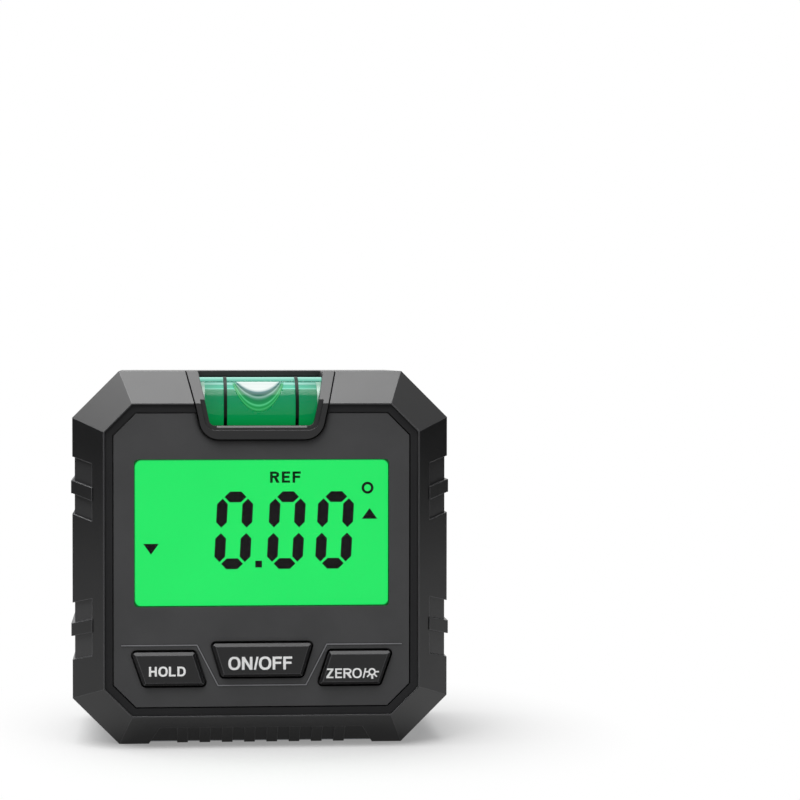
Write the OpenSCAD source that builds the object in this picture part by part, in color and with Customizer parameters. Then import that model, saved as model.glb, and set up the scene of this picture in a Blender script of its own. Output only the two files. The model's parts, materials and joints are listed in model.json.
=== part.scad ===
// Digital angle gauge with a bubble vial, standing on its grooved magnetic base.
// Right is +X, up is +Z, and the display faces -Y. The origin is under the middle.
// Depths called d run backwards from the front crest of the bevelled frame.

/* [Body] */
// Width over the side faces, mm
body_w = 60; // [60:0.1:61]
// Height from the resting face to the top face, mm
body_h = 59.6; // [59.6:0.1:60.2]
// Depth from the front crest to the rear face, mm
body_d = 33; // [33:0.1:34]
// Length cut off each corner of the outline along both sides, mm
corner_leg = 7.4; // [7.2:0.05:7.5]
// Width of the front bevel seen from the front, mm
bevel_in = 5.05; // [5:0.05:5.1]
// Depth of the front bevel, mm
bevel_d = 5; // [4.9:0.05:5.1]
// Extra cut of the bevels across the four corners, mm
corner_more = 0.03; // [0.02:0.01:0.05]
// Width of the flat crest between the bevel and the rim, mm
crest_flat = 0.2; // [0.15:0.05:0.25]
// Size of the chamfer round the rear edge, mm
rear_bevel = 2.5; // [2:0.1:2.6]
// Thickness of the outer walls, mm
wall = 1.8; // [1.7:0.05:1.9]
// Depth of the joint line between the front frame and the rear shell, mm
split_d = 14; // [13.8:0.05:14.2]
// Size of the small chamfers that form the joint line, mm
seam_c = 0.3; // [0.2:0.05:0.4]
// Extra length that each cut runs past the piece it cuts, mm
over = 1; // [0.8:0.1:1.2]
// Slack between neighbouring fixed pieces, mm
slack = 0.05; // [0.03:0.01:0.08]

/* [Side grips] */
// Depth of the grip recesses, mm
grip_cut_d = 0.38; // [0.35:0.01:0.45]
// Distance that each grip rib stands past the side face, mm
grip_out = 0.2; // [0.1:0.05:0.25]
// Length of the recesses over the bevel, seen from the front, mm
grip_in = 3.2; // [3:0.05:3.4]
// Rise of the recess edges over that length, mm
grip_slant = 1; // [0.8:0.05:1.2]
// Distance of the near recess edge from mid height, mm
grip_near = 7.1; // [7:0.05:7.2]
// Distance of the near rib edge from mid height, mm
grip_rib_near = 10.35; // [10.3:0.05:10.5]
// Distance of the far rib edge from mid height, mm
grip_rib_far = 12.4; // [12.3:0.05:12.6]
// Distance of the far recess edge from mid height, mm
grip_far = 16.2; // [16:0.05:16.4]
// Distance of the grips' end from the rear face, mm
grip_end = 8; // [7.8:0.1:8.2]

/* [Base ribs] */
// Distance of the ribbed recess from the side face at the resting face, mm
foot_side_low = 12.1; // [11.9:0.05:12.3]
// Distance of the ribbed recess from the side face at its upper end, mm
foot_side_high = 13.9; // [13.7:0.05:14.1]
// Height of the ribbed recess, mm
foot_recess_h = 3.05; // [2.9:0.05:3.2]
// Depth of the ribbed recess, mm
foot_recess_d = 0.45; // [0.4:0.05:0.5]
// Depth of the rib crests below the bevel, mm
foot_rib_d = 0.15; // [0.1:0.05:0.2]
// Width of each rib, mm
foot_rib_w = 1.7; // [1.5:0.05:1.8]
// Number of ribs
foot_ribs = 8; // [8:1:8]

/* [Panel] */
// Width of the dark rim between the bevel and the panel, mm
rim_w = 1.4; // [1.35:0.05:1.45]
// Gap seen between the rim and the panel, mm
rim_gap = 0.2; // [0.15:0.01:0.22]
// Depth of the rim face, mm
rim_face_d = 0.25; // [0.2:0.01:0.28]
// Depth of the panel face, mm
panel_face_d = 0.3; // [0.29:0.01:0.34]
// Depth of the rear of the panel, mm
panel_back_d = 2; // [1.95:0.01:2.02]
// Inset of the opening through the ledge behind the panel, mm
ledge_in = 7.6; // [7.5:0.05:7.7]
// Depth of the rear of the ledge, mm
ledge_back_d = 3.4; // [3.3:0.05:3.45]
// Distance of the window's edge from the side face, mm
window_side = 9.85; // [9.8:0.01:9.9]
// Lower edge of the display window above the resting face, mm
window_lo = 22.43; // [22.4:0.01:22.5]
// Distance of the window's upper edge from the top face, mm
window_top = 13.87; // [13.8:0.01:13.9]
// Corner radius of the display window, mm
window_r = 0.64; // [0.6:0.01:0.7]
// Width of the pale line round the power key, mm
line_w = 0.2; // [0.16:0.01:0.24]
// Height of the pale line above the panel, mm
line_h = 0.06; // [0.05:0.01:0.1]
// Height of the upper runs of the pale line, mm
line_hi = 16.5; // [16.45:0.01:16.55]
// Height of the lower run of the pale line, mm
line_lo = 10.1; // [10.05:0.01:10.15]
// Distance of the pale line's ends from the side face, mm
line_side = 7.8; // [7.6:0.1:8]
// Inner end of the upper runs of the pale line, mm
line_in = 10.2; // [10.1:0.01:10.3]
// Half length of the lower run of the pale line, mm
line_foot = 6.9; // [6.85:0.01:7]

/* [Keys] */
// Corner radius of the key openings, mm
key_r = 0.8; // [0.7:0.05:0.85]
// Gap between a key and its opening, mm
key_gap = 0.35; // [0.3:0.01:0.38]
// Distance that the keys stand proud of the front crest, mm
key_out = 0.4; // [0.3:0.05:0.5]
// Chamfer on the front edges of the keys, mm
key_chamfer = 0.45; // [0.35:0.05:0.5]
// Upper edge of the side key openings, mm
side_hi = 15.68; // [15.6:0.01:15.7]
// Lower edge of the side key openings, mm
side_lo = 9.72; // [9.7:0.01:9.8]
// Distance of the outer upper corner of the side keys from the side face, mm
side_key_hi = 9; // [8.95:0.01:9.05]
// Inner upper corner of the side key openings, mm
side_in_hi = 10.4; // [10.4:0.01:10.5]
// Distance of the outer lower corner of the side keys from the side face, mm
side_key_lo = 11.1; // [11.05:0.01:11.15]
// Inner lower corner of the side key openings, mm
side_in_lo = 8.45; // [8.45:0.01:8.5]
// Upper edge of the power key opening, mm
power_hi = 17; // [16.95:0.01:17.05]
// Lower edge of the power key opening, mm
power_lo = 11.05; // [11:0.01:11.1]
// Half width of the power key opening at its upper edge, mm
power_hw_hi = 8.4; // [8.35:0.01:8.45]
// Half width of the power key opening at its lower edge, mm
power_hw_lo = 6.6; // [6.55:0.01:6.65]
// Distance that each key flange reaches past its cap, mm
flange_out = 0.8; // [0.7:0.05:0.82]
// Depth of the front of the key flanges, mm
flange_face_d = 2.3; // [2.3:0.01:2.36]
// Thickness of the key flanges, mm
flange_t = 0.9; // [0.8:0.05:1]
// Depth of the rear end of the key stems, mm
stem_end_d = 4.3; // [4.25:0.01:4.35]
// Radius of the key stems, mm
stem_r = 1.5; // [1.4:0.05:1.6]
// Height of the side key switches above the resting face, mm
side_switch_z = 12.7; // [12.6:0.05:12.8]
// Height of the power key switch above the resting face, mm
power_switch_z = 14; // [13.9:0.05:14.1]
// Width and height of each switch body, mm
switch_w = 6; // [5.9:0.05:6]
// Depth of the front of the switch bodies, mm
switch_face_d = 5.9; // [5.8:0.05:6]
// Radius of the switch plungers, mm
plunger_r = 1.7; // [1.65:0.05:1.75]
// Running clearance round each plunger, mm
plunger_fit = 0.05; // [0.03:0.01:0.08]
// Depth of the rear end of the plungers, mm
plunger_end_d = 7; // [6.9:0.05:7.1]
// Depth of the floor of the plunger holes, mm
plunger_hole_d = 8; // [7.9:0.05:8.1]

/* [Bubble vial] */
// Half width of the vial trim at the top face, mm
trim_hw_hi = 11.85; // [11.8:0.01:11.9]
// Half width of the vial trim at the crest, mm
trim_hw_mid = 10.5; // [10.45:0.01:10.55]
// Half width of the vial trim at its lower end, mm
trim_hw_lo = 9.25; // [9.2:0.01:9.3]
// Distance of the trim's lower edge from the top face, mm
trim_drop = 10.7; // [10.65:0.01:10.75]
// Radius of the lower corners of the vial trim, mm
trim_r = 3.1; // [3:0.05:3.2]
// Half width of the vial opening at the top face, mm
pocket_hw_hi = 10; // [9.95:0.01:10.02]
// Half width of the vial opening at its sill, mm
pocket_hw_lo = 8.15; // [8.1:0.01:8.2]
// Distance of the pocket's sill from the top face, mm
sill_drop = 8.6; // [8.55:0.01:8.65]
// Radius of the lower corners of the vial opening, mm
pocket_r = 1; // [0.9:0.05:1.1]
// Distance that the rebate round the vial opening reaches past it, mm
rebate_in = 0.7; // [0.65:0.01:0.72]
// Depth of the rebate round the vial opening, mm
rebate_d = 0.3; // [0.25:0.01:0.35]
// Size of the chamfer along the sill, mm
sill_c = 0.3; // [0.25:0.01:0.32]
// Distance that the trim stands proud of the frame, mm
trim_out = 0.3; // [0.25:0.01:0.35]
// Gap round the trim, mm
trim_gap = 0.2; // [0.15:0.01:0.22]
// Depth of the rear of the vial holder, mm
holder_back_d = 12.8; // [12.75:0.01:12.85]
// Thickness of the wall behind the vial, mm
holder_wall = 1; // [0.95:0.01:1]
// Half width of the vial holder behind the panel, mm
holder_hw = 11.3; // [11.2:0.05:11.4]
// Distance of the holder's lower face from the top face, mm
holder_drop = 12.2; // [12.15:0.01:12.25]
// Distance of the holder's step from the top face, mm
holder_step = 7.7; // [7.65:0.01:7.75]
// Distance of the holder's upper face from the top face, mm
holder_top = 6.1; // [6.05:0.01:6.15]
// Distance of the vial's axis from the top face, mm
vial_drop = 5.8; // [5.78:0.01:5.82]
// Depth of the vial axis, mm
vial_axis_d = 6.85; // [6.84:0.01:6.87]
// Outer radius of the vial, mm
vial_r = 4.8; // [4.78:0.01:4.8]
// Bore radius of the vial, mm
vial_bore_r = 4.02; // [4:0.01:4.04]
// Half length of the vial, mm
vial_hl = 10; // [9.95:0.01:10.02]
// Length of each vial end plug, mm
plug_l = 1.1; // [1:0.05:1.1]
// Distance of the two ring lines from the middle, mm
ring_x = 5.7; // [5.6:0.05:5.8]
// Width of each ring line, mm
ring_w = 0.55; // [0.5:0.05:0.6]
// Height of each ring line above the vial, mm
ring_t = 0.06; // [0.05:0.01:0.07]
// Radius of the bubble, mm
bubble_r = 1.9; // [1.8:0.05:2]
// Length of the bubble, mm
bubble_l = 7; // [6.8:0.05:7.2]
// Height of the bubble centre above the vial axis, mm
bubble_up = 2.6; // [2.5:0.05:2.7]

/* [Display] */
// Depth of the front of the display lens, mm
lens_face_d = 0.5; // [0.45:0.01:0.6]
// Gap between the lens and its window, mm
lens_gap = 0.1; // [0.08:0.01:0.12]
// Distance that the lens flange reaches past the window, mm
lens_flange = 1; // [0.9:0.05:1]
// Depth of the rear of the display lens, mm
lens_back_d = 2.6; // [2.55:0.01:2.65]
// Depth of the front of the display glass, mm
glass_face_d = 2.9; // [2.88:0.01:2.95]
// Thickness of the display glass, mm
glass_t = 2; // [1.95:0.01:2]
// Distance that the display glass reaches past the window at each side, mm
glass_side = 1.35; // [1.3:0.01:1.4]
// Distance that the glass reaches past the window above and below, mm
glass_past = 1.25; // [1.2:0.01:1.25]
// Thickness of the display marks, mm
mark_t = 0.1; // [0.08:0.01:0.12]
// Distance between the columns of a digit, as a share of the window's half width
digit_share = 0.2; // [0.199:0.001:0.201]
// Distance of the outer digit bars from the digit centre, mm
digit_bar_z = 5.32; // [5.3:0.01:5.34]
// Distance of the column bars from the digit centre, mm
digit_col_z = 2.74; // [2.72:0.01:2.76]
// Thickness of the digit bars, mm
bar_w = 1.7; // [1.66:0.01:1.72]
// Length of the column bars, mm
col_l = 4.6; // [4.55:0.01:4.62]
// Difference between the spacing of a digit's columns and its bars, mm
bar_short = 0.56; // [0.54:0.01:0.6]
// Lean of the digits, degrees
digit_lean = 3; // [2.5:0.1:3.5]
// Height of the digits' middle above the window's middle, mm
digit_rise = 0.21; // [0.19:0.01:0.23]
// Place of the first digit, as a share of the window's half width
digit_1_share = -0.2169; // [-0.218:0.001:-0.216]
// Place of the second digit, as a share of the window's half width
digit_2_share = 0.1985; // [0.198:0.001:0.2]
// Place of the third digit, as a share of the window's half width
digit_3_share = 0.5811; // [0.58:0.001:0.582]
// Place of the point, as a share of the window's half width
point_share = -0.0208; // [-0.022:0.001:-0.02]
// Distance of the point below the digits' middle, mm
point_drop = 5.39; // [5.37:0.01:5.4]
// Size of the decimal point, mm
point_w = 1.06; // [1.02:0.01:1.1]
// Place of the degree ring, as a share of the window's half width
degree_share = 0.8422; // [0.84:0.001:0.845]
// Height of the degree ring above the digits' middle, mm
degree_rise = 6.71; // [6.65:0.01:6.75]
// Outer radius of the degree ring, mm
degree_r = 0.95; // [0.9:0.01:1]
// Line width of the degree ring, mm
degree_w = 0.4; // [0.36:0.01:0.44]
// Width of the two arrow marks, mm
arrow_w = 2.45; // [2.4:0.01:2.5]
// Height of the two arrow marks, mm
arrow_h = 1.7; // [1.65:0.01:1.75]
// Place of the right arrow, as a share of the window's half width
arrow_right_share = 0.8586; // [0.856:0.001:0.86]
// Height of the right arrow's base above the digits' middle, mm
arrow_rise = 1.76; // [1.7:0.01:1.8]
// Place of the left arrow, as a share of the window's half width
arrow_left_share = -0.8685; // [-0.87:0.001:-0.867]
// Distance of the left arrow's base below the digits' middle, mm
arrow_fall = 2.09; // [2.05:0.01:2.15]
// Distance that the light guide stays inside the display glass at each side, mm
guide_in = 0.4; // [0.35:0.05:0.5]
// Thickness of the light guide, mm
guide_t = 2.2; // [2.1:0.05:2.2]
// Distance that the carrier reaches past the display glass at each side, mm
carrier_side = 1.7; // [1.65:0.05:1.75]
// Distance that the carrier reaches past the glass above and below, mm
carrier_past = 0.35; // [0.3:0.01:0.36]
// Clearance of the carrier's opening past the display glass at each side, mm
carrier_clear = 1; // [0.95:0.05:1.05]
// Distance that the contact strip ends short of the display glass at each side, mm
strip_in = 3.5; // [3.3:0.1:3.7]
// Thickness of the contact strip, mm
strip_t = 0.95; // [0.9:0.01:1]
// Thickness of the backlight lamp, mm
lamp_t = 1.2; // [1.1:0.05:1.2]
// Length of the backlight lamp, mm
lamp_l = 3.5; // [3.2:0.1:4]

/* [Circuit board] */
// Depth of the front of the circuit board, mm
board_face_d = 9.4; // [9.35:0.01:9.45]
// Thickness of the circuit board, mm
board_t = 1.2; // [1.15:0.01:1.25]
// Distance of the circuit board's edge from the side face, mm
board_side = 3.4; // [3.35:0.05:3.5]
// Distance of the board's lower part from the side face, mm
board_low_side = 10.5; // [10.4:0.05:10.6]
// Lower edge of the circuit board, mm
board_lo = 7.2; // [7.15:0.01:7.3]
// Height where the circuit board widens, mm
board_step = 14; // [13.8:0.05:14.2]
// Distance of the board's upper edge from the top face, mm
board_top = 12.6; // [12.55:0.05:12.8]
// Distance of the board posts from the side face, mm
post_side = 4.8; // [4.75:0.01:4.85]
// Distance of the lower board posts below mid height, mm
post_drop = 10.8; // [10.6:0.05:11]
// Distance of the upper board posts from the top face, mm
post_top = 15.4; // [15.3:0.05:15.6]
// Radius of the board posts, mm
post_r = 1.8; // [1.75:0.05:1.85]
// Shank radius of the board screws, mm
board_screw_r = 0.85; // [0.8:0.01:0.88]
// Radius of the holes for the board screws, mm
board_hole_r = 0.9; // [0.89:0.01:0.95]
// Length of the board screws under the head, mm
board_screw_l = 4.5; // [4.4:0.05:4.6]
// Head radius of the small screws, mm
small_head_r = 1.7; // [1.6:0.05:1.8]
// Head height of the small screws, mm
small_head_t = 1.1; // [1:0.05:1.2]
// Width and height of the controller chip, mm
chip_w = 7; // [6.8:0.1:7.2]
// Thickness of the controller chip, mm
chip_t = 1.1; // [1:0.05:1.2]
// Position of the controller chip, mm
chip_x = -7; // [-7.2:0.1:-6.8]
// Height of the chips above mid height, mm
chip_rise = 1.2; // [1:0.1:1.4]
// Width and height of the tilt sensor, mm
sensor_w = 4; // [3.8:0.1:4.2]
// Position of the tilt sensor, mm
sensor_x = 7; // [6.8:0.1:7.2]
// Length of the timing crystal, mm
crystal_l = 6; // [5.8:0.1:6.2]
// Radius of the timing crystal, mm
crystal_r = 1; // [0.95:0.05:1.05]
// Clearance between the timing crystal and the battery compartment, mm
crystal_clear = 0.4; // [0.3:0.05:0.5]

/* [Rear screws] */
// Distance of the case screws from the side face, mm
boss_side = 6; // [6:0.01:6.05]
// Height of the lower case screws above the resting face, mm
boss_lo = 9; // [9:0.05:9.1]
// Distance of the upper case screws from the top face, mm
boss_top = 9; // [8.95:0.05:9]
// Radius of the bosses in the front frame, mm
boss_front_r = 2.9; // [2.85:0.01:2.95]
// Radius of the bosses in the rear shell, mm
boss_rear_r = 3.5; // [3.45:0.01:3.5]
// Depth of the seats for the case screw heads, mm
seat_d = 20; // [19.9:0.05:20.1]
// Radius of the holes above the screw heads, mm
counter_r = 2.75; // [2.72:0.01:2.8]
// Radius of the case screw shanks, mm
case_screw_r = 1.2; // [1.18:0.01:1.22]
// Radius of the holes for the shanks, mm
case_hole_r = 1.25; // [1.24:0.01:1.3]
// Length of the case screws under the head, mm
case_screw_l = 12; // [11.9:0.05:12.1]
// Head radius of the case screws, mm
case_head_r = 2.4; // [2.3:0.05:2.45]
// Head height of the case screws, mm
case_head_t = 1.8; // [1.7:0.05:1.9]
// Width of the cross slots in the screw heads, mm
slot_w = 0.5; // [0.45:0.01:0.55]
// Depth of the cross slots in the screw heads, mm
slot_d = 0.7; // [0.6:0.05:0.75]

/* [Batteries] */
// Radius of a cell, mm
cell_r = 5.25; // [5.2:0.01:5.25]
// Room at each end of the cells for the contacts, mm
cell_end = 2.15; // [2.1:0.01:2.2]
// Radius of the raised cell terminal, mm
nub_r = 1.9; // [1.8:0.05:2]
// Height of the raised cell terminal, mm
nub_h = 1; // [0.9:0.05:1]
// Clearance between the cells and the compartment's floor, mm
cell_clear = 0.45; // [0.4:0.05:0.5]
// Distance of the cell axes from the middle of the compartment, mm
cell_off = 6; // [5.9:0.05:6.05]
// Height of the battery compartment's middle above mid height, mm
tray_rise = 0.2; // [0.15:0.05:0.25]
// Distance of the battery compartment's end from the side face, mm
tray_side = 5.6; // [5.55:0.01:5.65]
// Half height of the compartment, mm
tray_hh = 12.2; // [12.15:0.01:12.25]
// Wall thickness of the compartment, mm
tray_wall = 1.2; // [1.15:0.01:1.25]
// Distance of the battery compartment's floor from the rear face, mm
tray_deep = 14.3; // [14.25:0.05:14.4]
// Distance that the cover seat reaches past the compartment, mm
seat_past = 1.6; // [1.55:0.01:1.6]
// Thickness of the wall round the cover seat, mm
seat_wall = 1.2; // [1.15:0.01:1.2]
// Thickness of the cover seat, mm
seat_t = 1.8; // [1.75:0.05:1.9]
// Thickness of the battery cover, mm
cover_t = 1.3; // [1.25:0.01:1.3]
// Gap round the battery cover, mm
cover_gap = 0.3; // [0.3:0.01:0.34]
// Half width of the cover latch, mm
latch_hw = 4; // [3.9:0.05:4.1]
// Thickness of the cover latch, mm
latch_t = 0.9; // [0.85:0.01:0.9]
// Length of the cover's latch in front of the cover, mm
latch_l = 4.5; // [4.4:0.05:4.6]
// Width of the grooves in the battery cover, mm
groove_w = 1; // [0.9:0.05:1.1]
// Distance between the grooves in the battery cover, mm
groove_pitch = 2.2; // [2.1:0.05:2.3]
// Depth of the grooves in the battery cover, mm
groove_d = 0.4; // [0.35:0.05:0.45]
// Half length of the grooves in the battery cover, mm
groove_hl = 7; // [6.8:0.1:7.2]
// Radius of the finger notch by the battery cover, mm
notch_r = 5; // [4.8:0.1:5.2]
// Sheet thickness of the battery contacts, mm
contact_t = 0.3; // [0.28:0.01:0.32]
// Half height of a battery contact, mm
contact_hh = 4.5; // [4.4:0.05:4.6]
// Half width of a battery contact in depth, mm
contact_hd = 3.6; // [3.5:0.05:3.7]
// Half height of the bent tongue of a contact, mm
tongue_hh = 3.2; // [3.1:0.05:3.3]
// Half height of the flat tip of a tongue, mm
tongue_tip = 0.7; // [0.6:0.05:0.8]
// Half width of a contact tongue in depth, mm
tongue_hd = 1.6; // [1.5:0.05:1.7]
// Half height of the solder tab of a contact, mm
tab_hh = 1; // [0.95:0.05:1.05]
// Length of the contact tabs in front of the compartment, mm
tab_l = 1.2; // [1.15:0.05:1.3]
// Radius of the battery wires, mm
wire_r = 0.5; // [0.45:0.01:0.5]

/* [Grooved base] */
// Half depth of the base block, mm
base_hd = 9.3; // [9.28:0.01:9.32]
// Height of the base block, mm
base_h = 6.2; // [6.15:0.01:6.2]
// Thickness of the retaining lips, mm
lip_t = 1.5; // [1.4:0.05:1.6]
// Distance of the ends of the retaining lips from the side face, mm
lip_side = 10.4; // [10.3:0.1:10.6]
// Half depth of the block over the retaining lips, mm
lip_hd = 10.6; // [10.5:0.01:10.65]
// Half width of the V groove at the resting face, mm
groove_hw = 3.5; // [3.45:0.01:3.52]
// Height of the V groove, mm
groove_h = 3.2; // [3.1:0.05:3.3]
// Half width of the flat at the top of the V groove, mm
groove_flat = 0.3; // [0.25:0.05:0.35]
// Radius of the magnets, mm
magnet_r = 2.5; // [2.45:0.01:2.5]
// Thickness of the magnets, mm
magnet_t = 3; // [2.9:0.05:3.05]
// Distance of the magnets from the side face, mm
magnet_side = 16.5; // [16.2:0.1:16.8]
// Distance of the magnets from the middle, front to back, mm
magnet_y = 6.4; // [6.38:0.01:6.42]
// Distance of the magnets above the resting face, mm
magnet_up = 0.1; // [0.08:0.01:0.12]

/* [Hidden] */
$fn = 64;

// How far each half plane cut reaches past its bevel, as a share of the bevel
reach_share = 0.3;

panel_in = bevel_in + crest_flat + rim_w;
mid_z = body_h / 2;
cover_face_d = body_d - cover_t;
window_hw = body_w / 2 - window_side;
window_hi = body_h - window_top;
line_out = body_w / 2 - line_side;
side_out_hi = body_w / 2 - side_key_hi;
side_out_lo = body_w / 2 - side_key_lo;
side_switch_x = (side_out_hi + side_in_lo) / 2;
trim_lo = body_h - trim_drop;
sill_z = body_h - sill_drop;
crest_z = body_h - bevel_in;
holder_lo = body_h - holder_drop;
holder_step_z = body_h - holder_step;
holder_hi = body_h - holder_top;
vial_z = body_h - vial_drop;
glass_hw = window_hw + glass_side;
digit_w = window_hw * digit_share;
digit_1 = window_hw * digit_1_share;
digit_2 = window_hw * digit_2_share;
digit_3 = window_hw * digit_3_share;
point_x = window_hw * point_share;
degree_x = window_hw * degree_share;
arrow_right = window_hw * arrow_right_share;
arrow_left = window_hw * arrow_left_share;
bar_l = digit_w - bar_short;
digit_z = (window_lo + window_hi) / 2 + digit_rise;
point_z = digit_z - point_drop;
degree_z = digit_z + degree_rise;
arrow_right_z = digit_z + arrow_rise;
arrow_left_z = digit_z - arrow_fall;
guide_hw = glass_hw - guide_in;
carrier_hw = glass_hw + carrier_side;
carrier_hole = glass_hw + carrier_clear;
strip_hl = glass_hw - strip_in;
board_hw = body_w / 2 - board_side;
board_low_hw = body_w / 2 - board_low_side;
board_hi = body_h - board_top;
post_x = body_w / 2 - post_side;
post_hi = body_h - post_top;
chip_z = mid_z + chip_rise;
post_lo = mid_z - post_drop;
boss_x = body_w / 2 - boss_side;
boss_hi = body_h - boss_top;
tray_hw = body_w / 2 - tray_side;
cell_l = tray_hw + tray_hw - cell_end - cell_end;
tray_z = mid_z + tray_rise;
crystal_z = tray_z - tray_hh - tray_wall - crystal_clear - crystal_r;
tray_floor_d = body_d - tray_deep;
cell_axis_d = tray_floor_d + cell_clear + cell_r;
latch_end_d = cover_face_d - latch_l;
tab_end_d = tray_floor_d - tray_wall - tab_l;
grip_back_d = body_d - grip_end;
lip_hw = body_w / 2 - lip_side;
magnet_x = body_w / 2 - magnet_side;
foot_recess_low = body_w / 2 - foot_side_low;
foot_recess_high = body_w / 2 - foot_side_high;
foot_rib_pitch = (foot_recess_high + foot_recess_high) / (foot_ribs + 1);
crest_y = key_out - (body_d + key_out) / 2;
wall_shift = wall * sqrt(2);
lip_lo = wall + slack + slack;
lip_hi = lip_lo + lip_t;
grip_shift = grip_cut_d * sqrt(2);
foot_shift = foot_recess_d * sqrt(2);
foot_rib_shift = foot_rib_d * sqrt(2);
key_face_d = -key_out;
guide_face_d = glass_face_d + glass_t + slack;
guide_lo = window_lo - slack;
guide_hi = window_hi + glass_past - slack;
glass_lo = window_lo - glass_past;
glass_hi = window_hi + glass_past;
board_back_d = board_face_d + board_t;
pocket_back_d = holder_back_d - holder_wall;
lip_back_d = vial_axis_d - vial_r - ring_t - slack - slack;
sill_hw = pocket_hw_lo - pocket_r - sill_c;
ledge_d = cover_face_d - cover_gap;
seat_front_d = ledge_d - seat_t;
rear_wall_d = body_d - wall;
cover_hw = tray_hw + seat_past - cover_gap;
cover_hh = tray_hh + seat_past - cover_gap;
cell_hi_z = tray_z + cell_off;
cell_lo_z = tray_z - cell_off;
contact_x = tray_hw - contact_t;
tongue_x = cell_l / 2 + slack;
wire_x = contact_x - wire_r;

function leg(i) = corner_leg - i * (2 - sqrt(2));

// Corners of the body outline moved inwards by i, counter-clockwise as seen from the front
function octagon_points(i) = [
  [-body_w / 2 + i + leg(i), i],
  [body_w / 2 - i - leg(i), i],
  [body_w / 2 - i, i + leg(i)],
  [body_w / 2 - i, body_h - i - leg(i)],
  [body_w / 2 - i - leg(i), body_h - i],
  [-body_w / 2 + i + leg(i), body_h - i],
  [-body_w / 2 + i, body_h - i - leg(i)],
  [-body_w / 2 + i, i + leg(i)]
];

function unit(v) = v / norm(v);
function half_angle(a, b, c) = acos(unit(a - b) * unit(c - b)) / 2;
function from_b(a, b, c, r) = b + unit(a - b) * r / tan(half_angle(a, b, c));
function arc_centre(a, b, c, r) = b + unit(unit(a - b) + unit(c - b)) * r / sin(half_angle(a, b, c));

// Outward unit normal of the edge from p to q of a counter-clockwise outline
function normal(p, q) = [(q - p).y, (p - q).x] / norm(q - p);

// Corner b of an outline whose two edges move outwards by g
function moved(a, b, c, g) = b + (normal(a, b) + normal(b, c)) * g / (1 + normal(a, b) * normal(b, c));
function grown(p, g) = [
  for (i = [0 : len(p) - 1])
    moved(p[(i + len(p) - 1) % len(p)], p[i], p[(i + 1) % len(p)], g)
];

power_points = [
  [-power_hw_lo, power_lo], [power_hw_lo, power_lo], [power_hw_hi, power_hi], [-power_hw_hi, power_hi]
];
zero_points = [
  [side_in_lo, side_lo], [side_out_lo, side_lo], [side_out_hi, side_hi], [side_in_hi, side_hi]
];
hold_points = [
  [-side_out_lo, side_lo], [-side_in_lo, side_lo], [-side_in_hi, side_hi], [-side_out_hi, side_hi]
];

// Outline in front view, drawn from depth a to depth b
module plate(a, b) {
  translate([0, crest_y + b, 0])
    rotate([90, 0, 0])
      linear_extrude(height = b - a)
        children();
}

// Rod along the depth, at x and z
module rod(x, z, r, a, b) {
  translate([x, crest_y + b, z])
    rotate([90, 0, 0])
      cylinder(r = r, h = b - a);
}

module block(x0, x1, z0, z1, a, b) {
  translate([x0, crest_y + a, z0])
    cube([x1 - x0, b - a, z1 - z0]);
}

// Outline with round corners of radius r
module rounded(p, r) {
  n = len(p);
  polygon([
    for (i = [0 : n - 1])
      each [
        from_b(p[(i + n - 1) % n], p[i], p[(i + 1) % n], r),
        from_b(p[(i + 1) % n], p[i], p[(i + n - 1) % n], r)
      ]
  ]);
  for (i = [0 : n - 1])
    translate(arc_centre(p[(i + n - 1) % n], p[i], p[(i + 1) % n], r))
      circle(r = r);
}

// Wedge that bevels the edge from p to q, w wide and h deep, from depth f; s is -1 at a rear edge
module edge_cut(p, q, w, h, f, s) {
  k = reach_share;
  n = normal(p, q);
  translate([p.x, crest_y + f, p.y])
    rotate([0, atan2(-n.y, n.x), 0])
      translate([0, 0, -w])
        linear_extrude(height = norm(q - p) + w + w)
          polygon([[-w * (1 + k), -s * h * k], [w * k, s * h * (1 + k)], [w * k, -s * h * k]]);
}

module bevel_cut(p, w, h, f, s) {
  for (i = [0 : len(p) - 1])
    edge_cut(p[i], p[(i + 1) % len(p)], w, h, f, s);
}

// Bevel round the body outline. Its four corners are cut slightly deeper, so that no four faces
// meet in a point.
module body_cut(w, h, f, s) {
  p = octagon_points(0);
  for (i = [0 : len(p) - 1])
    edge_cut(p[i], p[(i + 1) % len(p)], w + i % 2 * corner_more, h + i % 2 * corner_more, f, s);
}

// Body outline inset by i from depth a to depth b, with the front bevel moved back by f
module bevelled(i, a, b, f) {
  difference() {
    plate(a, b)
      polygon(octagon_points(i));
    body_cut(bevel_in, bevel_d, f, 1);
  }
}

// One grip strip on the right side between two distances from mid height, for side s of mid height
module grip_strip(near, far, s) {
  x = body_w / 2;
  polygon([
    [x - grip_in, mid_z + s * (near - grip_slant)],
    [x, mid_z + s * near],
    [x + over, mid_z + s * near],
    [x + over, mid_z + s * far],
    [x, mid_z + s * far],
    [x - grip_in, mid_z + s * (far - grip_slant)]
  ]);
}

module grip_recesses() {
  difference() {
    plate(-over, grip_back_d)
      for (m = [0, 1], s = [-1, 1])
        mirror([m, 0])
          grip_strip(grip_near, grip_far, s);
    bevelled(grip_cut_d, -over - over, grip_back_d + over, grip_shift);
  }
}

module grip_ribs() {
  intersection() {
    plate(-over, grip_back_d)
      for (m = [0, 1], s = [-1, 1])
        mirror([m, 0])
          grip_strip(grip_rib_near, grip_rib_far, s);
    bevelled(-grip_out, 0, grip_back_d + over, -grip_out);
  }
}

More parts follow.
